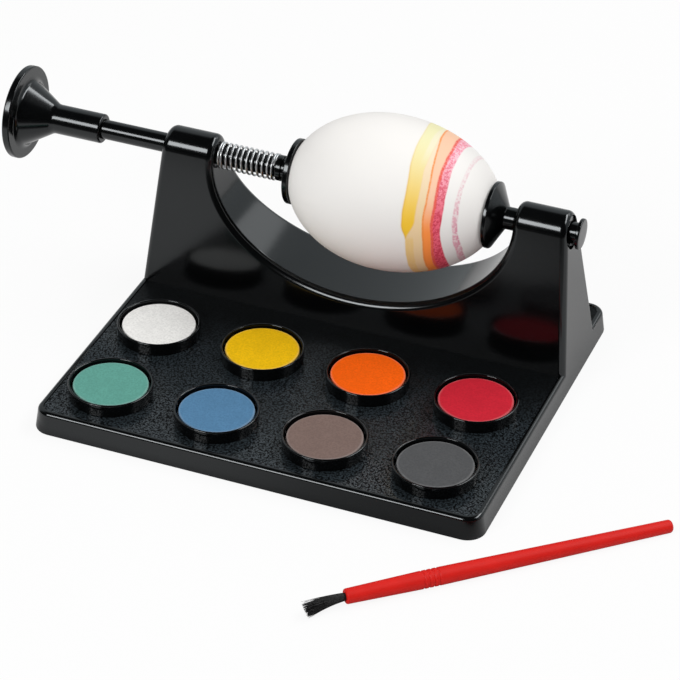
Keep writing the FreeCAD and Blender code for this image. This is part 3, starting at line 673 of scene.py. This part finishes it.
@dataclass(frozen=True)
class Housing:
    """The moulded base: a palette tray, a yoke with an elliptical cradle, and two bosses.

    The yoke's faces are named by a side: -1 for its front and 1 for its back.
    """

    width: float = 131.2
    lip: float = 0.3
    lip_width: float = 1.5
    lip_edge: float = 0.1
    corner: float = 5.5
    draft: float = 8.0
    edge: float = 1.2
    foot_edge: float = 0.3
    wall: float = 2.0
    yoke_front: float = 73.4
    yoke_foot: float = 28.0
    arm_span: float = 122.0
    rounding: float = 2.0
    boss: float = 5.8
    edge_steps: int = 8
    rounding_steps: int = 7
    cradle_half: float = 45.0
    cradle_drop: float = 31.9
    bore: float = 2.91
    cap_recess: float = 2.2
    seat: float = 4.8
    hole: float = 7.02
    corner_steps: int = 14
    cradle_steps: int = 112
    boss_steps: int = 24

    @property
    def low(self) -> float:
        """Where the yoke leaves the tray's sides."""
        return PANEL_HEIGHT + self.lip - self.edge

    def reach(self, side: int) -> float:
        """From the axis to a yoke face at the panel's height."""
        return AXIS_SETBACK - self.yoke_front if side < 0 else self.yoke_front + self.yoke_foot - AXIS_SETBACK

    def lean(self, side: int) -> float:
        """Lean of a yoke face, which touches the boss, as y over z."""
        reach, rise = self.reach(side), AXIS_HEIGHT - PANEL_HEIGHT
        run = math.sqrt(reach * reach + rise * rise - self.boss ** 2)
        return (reach * run - rise * self.boss) / (reach * self.boss + rise * run)

    def face(self, side: int, height: float, margin: float = 0.0) -> float:
        """A yoke face's place at a height, a margin inside the yoke."""
        return AXIS_Y + side * (self.reach(side) - margin - (height - PANEL_HEIGHT) * self.lean(side))

    def half_span(self, height: float) -> float:
        """Half the yoke's width at a height."""
        foot = self.width / 2 - self.low * math.tan(math.radians(self.draft))
        return foot - (height - self.low) * (foot - self.arm_span / 2) / (AXIS_HEIGHT - self.low)

    def loop(self, inset: float, height: float) -> list[tuple[float, float, float]]:
        """A rounded rectangle inside the base's outline."""
        radius = self.corner - inset
        half_x, half_y = self.width / 2 - self.corner, BASE_DEPTH / 2 - self.corner
        points = []
        middles = ((half_x, half_y), (-half_x, half_y), (-half_x, -half_y), (half_x, -half_y))
        for turn, (x, y) in enumerate(middles):
            for step in range(self.corner_steps + 1):
                angle = math.pi / 2 * (turn + step / self.corner_steps)
                points.append((x + radius * math.cos(angle), y + radius * math.sin(angle), height))
        return points

    def tray_object(self) -> Object:
        """The tray as a stack of loops from its panel over its rim to its hollow underside."""
        piece = Piece("housing_shell", HOUSING, GRAIN)
        slope, rim = math.tan(math.radians(self.draft)), PANEL_HEIGHT + self.lip
        foot, small = self.foot_edge, self.lip_edge
        arc_inset = (rim - self.edge) * slope + self.edge / math.cos(math.radians(self.draft))
        lip, hollow = rim * slope + self.lip_width, PANEL_HEIGHT - self.wall
        levels = [(lip + small, PANEL_HEIGHT), (lip, PANEL_HEIGHT + small), (lip, rim - small),
                  (lip - small, rim)]
        for step in range(self.edge_steps + 1):
            angle = math.radians(90 - step * (90 - self.draft) / self.edge_steps)
            levels.append((arc_inset - self.edge * math.cos(angle),
                           rim - self.edge + self.edge * math.sin(angle)))
        levels += [(foot * slope, foot), (foot * 0.3, foot * 0.3), (foot, 0.0), (self.wall, 0.0),
                   (self.wall + hollow * slope, hollow)]
        loops = [piece.add(self.loop(inset, height)) for inset, height in levels]
        for first, second in zip(loops, loops[1:]):
            piece.band(first, second)
        piece.face(loops[0], kind=1)
        piece.face(loops[-1])
        return piece.object()

    def cradle(self, margin: float, top: float) -> Profile:
        """Points (x, z) down the left side of the cradle and up the right one, below a height."""
        half, drop = self.cradle_half + margin, self.cradle_drop + margin
        start = math.asin(min(1.0, max(0.0, (AXIS_HEIGHT - top) / drop)))
        points = []
        for step in range(self.cradle_steps + 1):
            angle = start + (math.pi - 2 * start) * step / self.cradle_steps
            points.append((-half * math.cos(angle), AXIS_HEIGHT - drop * math.sin(angle)))
        return points

    def boss_arc(self) -> Profile:
        """Points (y, z) of the boss from the yoke's front face to its back one."""
        front, back = math.atan(self.lean(-1)), math.atan(self.lean(1))
        points = []
        for step in range(self.boss_steps + 1):
            angle = math.pi - front - (math.pi - front - back) * step / self.boss_steps
            points.append((AXIS_Y + self.boss * math.cos(angle), AXIS_HEIGHT + self.boss * math.sin(angle)))
        return points

    def yoke_object(self) -> Object:
        """The yoke's solid with all its outline edges rounded."""
        piece = Piece("yoke", HOUSING)
        low, arc, trough = self.low, self.boss_arc(), self.cradle(0.0, AXIS_HEIGHT)
        troughs = [piece.add((x, self.face(side, z), z) for x, z in trough) for side in (-1, 1)]
        piece.band(*troughs, closed=False)
        ends = []
        for hand, place in ((-1, 0), (1, -1)):
            inner = piece.add((hand * self.cradle_half, y, z) for y, z in arc)
            outer = piece.add((hand * self.half_span(z), y, z) for y, z in arc)
            feet = piece.add((hand * self.half_span(low), self.face(side, low), low) for side in (-1, 1))
            piece.band(inner, outer, closed=False)
            piece.face([troughs[0][place], *inner, troughs[1][place]])
            piece.face([feet[0], *outer, feet[1]])
            ends.append((inner, outer, feet))
        (left_inner, left_outer, left_feet), (right_inner, right_outer, right_feet) = ends
        for number, end in ((0, 0), (1, -1)):
            piece.face([left_feet[number], left_outer[end], left_inner[end], *troughs[number],
                        right_inner[end], right_outer[end], right_feet[number]])
        piece.face([left_feet[0], left_feet[1], right_feet[1], right_feet[0]])
        return self.round_edges(piece.object())

    def round_edges(self, yoke: Object) -> Object:
        """Round the yoke's edges, apart from those at its foot."""
        shell = bmesh.new()
        shell.from_mesh(yoke.data)
        weight = shell.edges.layers.float.new("bevel_weight_edge")
        for edge in shell.edges:
            at_foot = all(vertex.co.z < (self.low + 0.01) * MM for vertex in edge.verts)
            if not at_foot and edge.calc_face_angle(0.0) > math.radians(45):
                edge[weight] = 1.0
        shell.to_mesh(yoke.data)
        shell.free()
        bevel = yoke.modifiers.new("rounding", "BEVEL")
        bevel.limit_method = "WEIGHT"
        bevel.width = self.rounding * MM
        bevel.segments = self.rounding_steps
        bevel.use_clamp_overlap = False
        return settle(yoke)

    def hollow_object(self) -> Object:
        """The hollow inside the yoke."""
        piece = Piece("hollow", HOUSING)
        low, high, wall = PANEL_HEIGHT - self.wall - self.lip, AXIS_HEIGHT - self.boss, self.wall
        foot, top = self.half_span(low) - wall, self.half_span(high) - wall
        outline = [(-foot, low), (-top, high), *self.cradle(wall, high), (top, high), (foot, low)]
        faces = [piece.add((x, self.face(side, z, wall), z) for x, z in outline) for side in (-1, 1)]
        piece.band(*faces)
        for face in faces:
            piece.face(face)
        return piece.object()

    def bores_object(self, pans: Profile) -> Object:
        """The spindle bores, the end cap's seat and the pans' holes."""
        piece = Piece("bores", HOUSING)
        recess, top = self.arm_span / 2 - self.cap_recess, PANEL_HEIGHT + 1
        piece.turned([(-self.width, 0), (-self.width, self.bore), (recess, self.bore), (recess, self.seat),
                      (self.width, self.seat), (self.width, 0)], Turn.SPINDLE, AXIS, 64)
        for x, y in pans:
            piece.turned([(self.wall, 0), (self.wall, self.hole), (top, self.hole), (top, 0)],
                         Turn.UPRIGHT, (x, y, 0.0), 48)
        return piece.object()

    def dress(self, pans: Profile) -> None:
        """Make the housing and hand it to the frame; pans are the middles of the pans."""
        shell = self.tray_object()
        carve(shell, self.yoke_object(), "UNION")
        carve(shell, self.hollow_object(), "DIFFERENCE")
        carve(shell, self.bores_object(pans), "DIFFERENCE")
        smooth_by_angle(shell.data)
        show(weigh_normals(shell), "base", "base_housing")


# ---- the palette ----

class Paint(Enum):
    """The tablets' colours, as they lie from left to right in the back row and then in the front row."""

    WHITE = (0.8, 0.793, 0.77)
    YELLOW = (0.85, 0.5, 0.0036)
    ORANGE = (0.865, 0.112, 0.002)
    RED = (0.52, 0.015, 0.031)
    GREEN = (0.104, 0.306, 0.254)
    BLUE = (0.0775, 0.19, 0.328)
    BROWN = (0.173, 0.12, 0.105)
    BLACK = (0.077, 0.079, 0.082)


@dataclass(frozen=True)
class Palette:
    """Eight paint pans and their tablets."""

    pitch_x: float = 31.8
    pitch_y: float = 32.4
    first_row: float = 17.1
    left: float = 0.9
    segments: int = 112
    radius: float = 11.9
    taper: float = 0.2
    height: float = 3.9
    rim: float = 0.7
    bottom: float = 0.9
    spigot: float = 7.0
    spigot_length: float = 2.0
    tablet: float = 10.5
    recess: float = 0.75
    worn: float = 0.35
    columns: int = 4

    def places(self) -> list[tuple[Paint, float, float]]:
        """The paints with the middles of their pans."""
        found = []
        for number, paint in enumerate(Paint):
            row, column = divmod(number, self.columns)
            x = (column - (self.columns - 1) / 2) * self.pitch_x - self.left
            y = self.first_row + (1 - row) * self.pitch_y - BASE_DEPTH / 2
            found.append((paint, x, y))
        return found

    def dress(self) -> None:
        """Make each pan, a shallow cup on a spigot, and the tablet with a worn edge in it."""
        inside, hollow, top = self.radius - self.rim, self.spigot - self.bottom, self.height - self.recess
        pan = rounded([
            (0, 0), (0, hollow), (-self.spigot_length, hollow),
            (-self.spigot_length, self.spigot, 0.2), (0, self.spigot),
            (0, self.radius - self.taper, 0.25), (self.height, self.radius, 0.3),
            (self.height, inside, 0.3), (self.bottom, inside, 0.4), (self.bottom, 0)])
        cake = rounded([(self.bottom, 0), (self.bottom, self.tablet),
                        (top, self.tablet, self.worn), (top, self.tablet * 0.6), (top, 0)])
        for paint, x, y in self.places():
            name = paint.name.lower()
            watercolour = PaintCake(f"{name} watercolour", paint.value, x, y, self.tablet)
            for made, finish, profile, slot, node in (
                    (f"pan_{name}_cup", PAN, pan, "pan_plastic", f"pan_{name}"),
                    (f"tablet_{name}_cake", watercolour, cake, f"paint_{name}", f"tablet_{name}")):
                piece = turned_object(made, finish, profile, Turn.UPRIGHT, (x, y, PANEL_HEIGHT),
                                      self.segments)
                show(piece, "base", node)


# ---- the spindles ----

@dataclass(frozen=True)
class Cup:
    """Lengths of a cup's rim, cone and recess, and the radius of its floor."""

    rim: float
    cone: float
    recess: float
    floor: float


@dataclass(frozen=True)
class Spindles:
    """Everything on the spindle axis, with stations along it measured from the origin."""

    segments: int = 96
    rod: float = 2.85
    rod_end: float = -97.9
    cup: float = 9.5
    cup_wall: float = 0.9
    drive_cup: Cup = Cup(rim=1.5, cone=1.2, recess=2.3, floor=2.8)
    idler_cup: Cup = Cup(rim=1.1, cone=3.4, recess=3.3, floor=3.6)
    hub: float = 3.4
    hub_length: float = 1.7
    left_rim: float = -20.58
    right_rim: float = 37.2
    collar: float = 3.2
    collar_length: float = 3.0
    pin_tip: float = 1.9
    cap: float = 59.1
    cap_flange: float = 4.5
    cap_flange_length: float = 0.9
    cap_neck: float = 3.0
    cap_neck_length: float = 2.8
    cap_head: float = 4.4
    cap_edge: float = 1.1
    cap_socket: float = 0.3
    washer_start: float = -26.63
    washer_end: float = -25.03
    washer_flat: float = 3.2
    washer: float = 3.7
    sleeve_end: float = -81.2
    socket_end: float = -98.2
    cone_start: float = -96.3
    disc_back: float = -105.3
    disc_front: float = -107.5
    dish_floor: float = -106.3
    sleeve: float = 4.3
    cone: float = 9.8
    disc: float = 13.7
    dish: float = 11.5
    dish_foot: float = 10.3
    egg_middle: float = 6.974
    egg_radius: float = 22.05
    egg_blunt: float = 29.6
    egg_point: float = 32.5
    egg_steps: int = 144

    def cup_corners(self, cup: Cup, rim: float, away: int) -> list[Sequence[float]]:
        """A cup from its hub to the middle of its recess; away is -1 where it opens to the right."""
        cone = rim + away * cup.rim
        foot, floor = cone + away * cup.cone, rim + away * cup.recess
        return [(foot, self.hub, 0.25), (cone, self.cup, 0.3), (rim, self.cup, 0.25),
                (rim, self.cup - self.cup_wall, 0.2), (floor, cup.floor, 0.3), (floor, 0)]

    def turned(self, name: str, body: str, node: str, corners: Corners, closed: bool = False) -> None:
        """Make a turned piece on the spindle axis and hand it to the frame."""
        made = turned_object(name, SPINDLE, rounded(corners), Turn.SPINDLE, AXIS, self.segments, closed)
        show(made, body, node)

    def drive_spindle(self) -> None:
        """The rod with the left cup."""
        foot = self.left_rim - self.drive_cup.rim - self.drive_cup.cone - self.hub_length
        self.turned("drive_rod_and_cup", "spindle", "drive_spindle", [
            (self.rod_end, 0), (self.rod_end, self.rod, 0.3), (foot, self.rod),
            (foot, self.hub, 0.15), *self.cup_corners(self.drive_cup, self.left_rim, -1)])

    def idler_spindle(self) -> None:
        """The pin with its collar and the right cup."""
        foot = self.right_rim + self.idler_cup.rim + self.idler_cup.cone
        shoulder, cap = foot + self.collar_length, self.cap
        tip = cap + self.cap_flange_length + self.cap_neck_length
        self.turned("idler_pin_and_cup", "idler", "idler_spindle", [
            (tip, 0), (tip, self.pin_tip, 0.2), (cap, self.pin_tip),
            (cap, self.rod, 0.15), (shoulder, self.rod), (shoulder, self.collar, 0.2),
            (foot, self.collar, 0.15), *self.cup_corners(self.idler_cup, self.right_rim, 1)])

    def end_cap(self) -> None:
        """The spool that keeps the idler pin in its boss."""
        start, neck = self.cap, self.cap + self.cap_flange_length
        head = neck + self.cap_neck_length
        end, socket, bore = head + self.cap_edge, head + self.cap_socket, self.pin_tip + PRESS_GAP
        self.turned("end_cap_spool", "idler", "end_cap", [
            (socket, 0), (socket, bore), (start, bore), (start, self.cap_flange, 0.15),
            (neck, self.cap_flange, 0.2), (neck, self.cap_neck, 0.2),
            (head, self.cap_neck, 0.2), (head, self.cap_head, 0.2),
            (end, self.cap_head, 0.35), (end, 2.0), (end, 0)])

    def thrust_washer(self) -> None:
        """The washer between the spring and the left cup."""
        start, end, bore = self.washer_start, self.washer_end, self.rod + RUNNING_GAP
        self.turned("washer_ring", "carriage", "thrust_washer", [
            (start, bore), (start, self.washer_flat), (start, self.washer, 0.2),
            (end, self.washer, 0.2), (end, bore)], closed=True)

    def turning_knob(self) -> None:
        """The knob: a dished disc, a cone and a sleeve with a blind socket."""
        bore = self.rod + PRESS_GAP
        self.turned("knob_turning", "spindle", "turning_knob", [
            (self.socket_end, 0), (self.socket_end, bore), (self.sleeve_end, bore, 0.2),
            (self.sleeve_end, self.sleeve, 0.6), (self.cone_start, self.sleeve, 3.0),
            (self.disc_back, self.cone, 2.2), (self.disc_back, self.disc, 0.5),
            (self.disc_front, self.disc, 0.5), (self.disc_front, self.dish, 0.4),
            (self.dish_floor, self.dish_foot, 0.8), (self.dish_floor, 4.0),
            (self.dish_floor, 0)])

    def egg(self) -> None:
        """The egg: a blunt and a pointed half-ellipse turned about the axis."""
        profile = []
        for step in range(self.egg_steps + 1):
            angle = math.pi * step / self.egg_steps
            reach = self.egg_blunt if step < self.egg_steps / 2 else self.egg_point
            out = self.egg_radius * math.sin(angle) if 0 < step < self.egg_steps else 0.0
            profile.append((self.egg_middle - reach * math.cos(angle), out))
        piece = Piece("egg_shell_painted", PaintedShell("painted eggshell"))
        piece.turned(profile, Turn.SPINDLE, AXIS, self.egg_steps)
        show(piece.object(), "egg", "egg")

    def dress(self) -> None:
        """Make every piece on the axis."""
        for make in (self.turning_knob, self.drive_spindle, self.thrust_washer, self.egg,
                     self.idler_spindle, self.end_cap):
            make()


@dataclass(frozen=True)
class Spring:
    """The spring between the left boss and the washer, with closed ends."""

    start: float = -44.6
    length: float = 17.92
    coil: float = 3.65
    wire: float = 0.3
    turns: float = 12.4
    closed_turns: float = 1.2
    left_face: float = -44.653
    travel: float = 9.0
    steps: int = 40
    wire_sides: int = 14
    closed_pitch: float = 2.05

    def build(self, net: Net) -> Wire:
        """Wind a line of points into a coil and sweep the wire along it; closed turns nearly touch."""
        count = int(self.turns * self.steps) + 1
        line = net.wire("GeometryNodeMeshLine", Count=count, Offset=(0.0, 0.0, 0.0))
        turn = net.wire("GeometryNodeInputIndex") * (1 / self.steps)
        closed, wire, coil = net.given("Closed turns"), net.given("Wire radius"), net.given("Coil radius")
        open_turns = net.given("Turns") - closed * 2.0
        pitch = (net.given("Length") - wire * 2.0 - closed * wire * (2 * self.closed_pitch)) / open_turns
        first = net.math("MINIMUM", turn, closed)
        middle = net.math("MAXIMUM", net.math("MINIMUM", turn - closed, open_turns), 0.0)
        last = net.math("MAXIMUM", turn - closed - open_turns, 0.0)
        along = wire + (first + last) * wire * self.closed_pitch + middle * pitch
        angle = turn * (2 * math.pi)
        across, up = net.math("COSINE", angle) * coil, net.math("SINE", angle) * coil
        spot = net.vector(along + net.given("Start"), across + net.given("Axis Y"), up + net.given("Axis Z"))
        wound = net.wire("GeometryNodeSetPosition", Geometry=line, Position=spot)
        path = net.wire("GeometryNodeMeshToCurve", Mesh=wound)
        section = net.wire("GeometryNodeCurvePrimitiveCircle", Resolution=self.wire_sides, Radius=wire)
        swept = net.wire("GeometryNodeCurveToMesh", Curve=path, Profile_Curve=section, Fill_Caps=True)
        return net.wire("GeometryNodeSetShadeSmooth", Geometry=swept)

    def dress(self) -> None:
        """Grow the spring, hand it to the frame and give it a mesh of its own."""
        lengths = {"Start": self.start, "Length": self.length, "Coil radius": self.coil,
                   "Wire radius": self.wire, "Axis Y": AXIS_Y, "Axis Z": AXIS_HEIGHT}
        turns = {"Turns": self.turns, "Closed turns": self.closed_turns}
        coil = grow("spring_coil", SpringWire("bright spring wire"), self.build, lengths, turns)
        show(coil, "base", "return_spring")
        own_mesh(coil)


# ---- the brush ----

@dataclass(frozen=True)
class Brush:
    """The brush on the table, made along its own axis from its tip and then laid in place."""

    tip_x: float = 33.7
    tip_y: float = -101.65
    yaw: float = 42.4
    bristles: float = 11.4
    root: float = 1.0
    tip: float = 1.75
    handle: float = 92.6
    nose: float = 2.05
    nose_edge: float = 0.5
    ring_place: float = 22.1
    ring_pitch: float = 1.4
    ring: float = 2.43
    groove: float = 0.28
    tail: float = 1.8
    rings: int = 3
    hairs: int = 520
    hair_points: int = 8
    hair_sides: int = 5
    hair: float = 0.085
    hair_taper: float = 0.75
    stray_share: float = 0.2
    stray_lift: float = 1.6
    droop: float = 0.9
    swing: float = 1.2
    above_table: float = 0.12
    socket: float = 6.3
    ring_edge: float = 0.2

    @property
    def grip(self) -> float:
        """Where the grip rings touch the table, from the bristles' tip."""
        return self.bristles + self.ring_place + (self.rings - 0.25) * self.ring_pitch

    @property
    def slope(self) -> float:
        """How steeply the axis falls from the grip rings to the tail."""
        return (self.ring - self.tail) / (self.bristles + self.handle - self.grip)

    @property
    def height(self) -> float:
        """Height of the axis above the table at the bristles' tip."""
        return self.ring + self.grip * self.slope

    def lay(self, piece: Object, node: str = "") -> None:
        """Move a piece from the brush's own axis to its place on the table, and hand it to the frame."""
        tilt = Matrix.Rotation(math.atan(self.slope), 4, "Y")
        turn = Matrix.Rotation(math.radians(self.yaw), 4, "Z") @ tilt
        piece.data.transform(Matrix.Translation(Vector((self.tip_x, self.tip_y, self.height)) * MM) @ turn)
        show(piece, "brush", node)

    def handle_object(self) -> Object:
        """The turned handle with its grip rings and its round tail."""
        start, end, bore = self.bristles, self.bristles + self.handle, self.root + PRESS_GAP
        crest, valley, edge = self.ring_pitch / 4, self.ring - self.groove, self.ring_edge
        first = start + self.ring_place
        corners = [(start + self.socket, 0), (start + self.socket, bore), (start, bore, 0.1),
                   (start, self.nose, self.nose_edge), (first - 3 * crest, self.ring, edge)]
        for number in range(self.rings):
            at = first + number * self.ring_pitch
            corners += [(at - 2 * crest, valley, edge), (at - crest, self.ring, edge),
                        (at + crest, self.ring, edge)]
        corners += [(at + 2 * crest, valley, edge), (at + 3 * crest, self.ring, edge),
                    (end, self.tail, self.tail * 0.9), (end, 0)]
        return turned_object("brush_handle_red", Lacquer("red lacquer"), rounded(corners), Turn.SPINDLE,
                             (0, 0, 0), 48)

    def build_hairs(self, net: Net) -> Wire:
        """Stand strands of points on a disc, fan them out, bend them and sweep them as thin cones."""
        strand = net.wire("GeometryNodeCurvePrimitiveLine")
        strand = net.wire("GeometryNodeResampleCurve", Curve=strand, Count=self.hair_points)
        roots = net.wire("GeometryNodePoints", Count=self.hairs)
        stood = net.wire("GeometryNodeInstanceOnPoints", Points=roots, Instance=strand)
        strands = net.wire("GeometryNodeRealizeInstances", Geometry=stood)
        index = net.wire("GeometryNodeInputIndex")
        number = net.math("FLOOR", (index + 0.5) / float(self.hair_points))

        def chance(seed: int, low: float, high: float) -> Wire:
            """A random number of each strand, between low and high."""
            return net.wire("FunctionNodeRandomValue", 1, {"data_type": "FLOAT"}, {2: low, 3: high},
                            ID=number, Seed=seed)

        along = (index - number * float(self.hair_points)) / float(self.hair_points - 1)
        out = net.math("SQRT", (number + 0.5) / float(self.hairs))
        angle = number * GOLDEN_ANGLE
        across, up = net.math("COSINE", angle) * out, net.math("SINE", angle) * out
        stray = net.math("LESS_THAN", chance(11, 0.0, 1.0), self.stray_share) * net.ramp_up(up, -0.2, 0.5)
        root = net.given("Root radius")
        fan = root + (net.given("Tip radius") - root) * along ** 0.85
        bend = along * along
        reach = chance(3, 0.88, 1.0) + up * 0.05 + stray * 0.04
        away = across * fan + (chance(5, -0.25, 0.25) * MM - net.given("Swing")) * bend
        lift = net.given("Stray lift") * stray * chance(9, 0.2, 1.0) - net.given("Droop")
        high = up * fan + (chance(7, -0.25, 0.25) * MM + lift) * bend
        high = net.math("MAXIMUM", high, net.given("Table"))
        spot = net.vector(net.given("Length") * (1.0 - along * reach), away, high)
        bent = net.wire("GeometryNodeSetPosition", Geometry=strands, Position=spot)
        section = net.wire("GeometryNodeCurvePrimitiveCircle", Resolution=self.hair_sides,
                           Radius=net.given("Hair radius"))
        swept = net.wire("GeometryNodeCurveToMesh", Curve=bent, Profile_Curve=section,
                         Scale=1.0 - along * self.hair_taper, Fill_Caps=True)
        return net.wire("GeometryNodeSetShadeSmooth", Geometry=swept)

    def dress(self) -> None:
        """Make the handle, the bristles and the dark core in them, and lay them on the table."""
        self.lay(self.handle_object(), "brush_handle")
        hair = Hair("dark hair")
        lengths = {"Length": self.bristles, "Root radius": self.root, "Tip radius": self.tip,
                   "Hair radius": self.hair, "Droop": self.droop, "Swing": self.swing,
                   "Stray lift": self.stray_lift, "Table": self.above_table - self.height}
        self.lay(grow("brush_tuft", hair, self.build_hairs, lengths), "brush_bristles")
        core, end = Piece("brush_tuft_core", hair), self.bristles + 5
        core.turned([(self.bristles * 0.45, 0), (self.bristles * 0.6, self.root * 0.85),
                     (self.bristles, self.root * 0.95), (end, self.root * 0.95), (end, 0)],
                    Turn.SPINDLE, (0, 0, 0), 24)
        self.lay(core.object())


# ---- the studio ----

@dataclass(frozen=True)
class Lamp:
    """A soft rectangular lamp; its place, its aim and its sides are in metres."""

    name: str
    place: tuple[float, float, float]
    aim: tuple[float, float, float]
    wide: float
    high: float
    watts: float

    def light(self) -> None:
        """Hang the lamp."""
        data = bpy.data.lights.new(self.name, "AREA")
        data.shape = "RECTANGLE"
        data.size, data.size_y = self.wide, self.high
        data.energy = self.watts
        made = link(self.name, data)
        made.location = self.place
        made.rotation_euler = (Vector(self.aim) - Vector(self.place)).to_track_quat("-Z", "Y").to_euler()


@dataclass(frozen=True)
class Studio:
    """The floor, the lamps, the room and the camera."""

    azimuth: float = 20.675
    elevation: float = 34.017
    roll: float = 1.381
    aim: tuple[float, float, float] = (7.25, -9.616, 20.052)
    distance: float = 862.06
    lens: float = 165.165
    low_room: float = 0.2
    high_room: float = 0.67
    behind: float = 0.62
    front: float = 0.02
    floor_half: float = 6000.0
    white: Colour = (1.0, 1.0, 1.0)
    cool: Colour = (0.9, 0.97, 1.0)
    lamps: tuple[Lamp, ...] = (
        Lamp("key", (-0.375, -0.928, 0.692), (0.0, 0.0, 0.03), 0.52, 0.40, 7.7),
        Lamp("side", (0.679, 0.478, 1.012), (-0.1, 0.028, 0.047), 1.2, 0.3, 9.8),
        Lamp("corner", (0.502, 0.944, 0.575), (0.0, 0.0, 0.03), 0.36, 0.36, 0.53),
    )

    def camera(self) -> None:
        """Stand the camera."""
        azimuth, elevation, roll = map(math.radians, (self.azimuth, self.elevation, self.roll))
        back = Vector((math.sin(azimuth) * math.cos(elevation), -math.cos(azimuth) * math.cos(elevation),
                       math.sin(elevation)))
        level = Vector((math.cos(azimuth), math.sin(azimuth), 0.0))
        upright = back.cross(level)
        right = level * math.cos(roll) + upright * math.sin(roll)
        up = upright * math.cos(roll) - level * math.sin(roll)
        data = bpy.data.cameras.new("camera")
        data.lens = self.lens
        data.clip_end = 20.0
        made = link("camera", data)
        turn = Matrix((right, up, back)).transposed().to_4x4()
        made.matrix_world = Matrix.Translation((Vector(self.aim) + back * self.distance) * MM) @ turn
        bpy.context.scene.camera = made

    def floor(self) -> None:
        """Lay the floor."""
        half = self.floor_half
        piece = Piece("floor", StudioFloor("white sweep"))
        piece.face(piece.add([(-half, -half, 0), (half, -half, 0), (half, half, 0), (-half, half, 0)]))
        piece.object(recalculate=False)

    def sky(self) -> None:
        """A white room to the eye, whose gloss shows a pale wall behind, a dark front and a dark ceiling."""
        world = bpy.data.worlds.new("studio")
        world.use_nodes = True
        net = Net(world.node_tree)
        path = net.node("ShaderNodeLightPath")
        glossy, eye = (Wire(net, path.outputs[f"Is {ray} Ray"]) for ray in ("Glossy", "Camera"))
        split = net.node("ShaderNodeSeparateXYZ", Vector=net.wire("ShaderNodeTexCoord", "Generated"))
        _, backwards, upwards = (Wire(net, output) for output in split.outputs)
        wall = net.ramp_up(backwards, -0.25, 0.2) * net.ramp_up(upwards, 0.87, 0.72)
        shine = self.front + wall * (self.behind - self.front)
        room = self.low_room + net.ramp_up(upwards, 0.0, 1.0) * (self.high_room - self.low_room)
        strength = (glossy * shine + (1.0 - glossy) * room) * (1.0 - eye) + eye
        glow = net.wire("ShaderNodeBackground", Color=net.mix(glossy, self.white, self.cool),
                        Strength=strength)
        net.node("ShaderNodeOutputWorld", Surface=glow)
        bpy.context.scene.world = world

    def set_up(self) -> None:
        """Make the whole studio."""
        self.camera()
        self.floor()
        self.sky()
        for lamp in self.lamps:
            lamp.light()
        bpy.context.scene.view_settings.view_transform = "Standard"


def main() -> None:
    """Build the scene round the frame."""
    logging.basicConfig(level=logging.INFO, format="%(message)s")
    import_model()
    Studio().set_up()
    palette = Palette()
    Housing().dress([(x, y) for _, x, y in palette.places()])
    palette.dress()
    Spindles().dress()
    Spring().dress()
    Brush().dress()


if __name__ == "__main__":
    main()
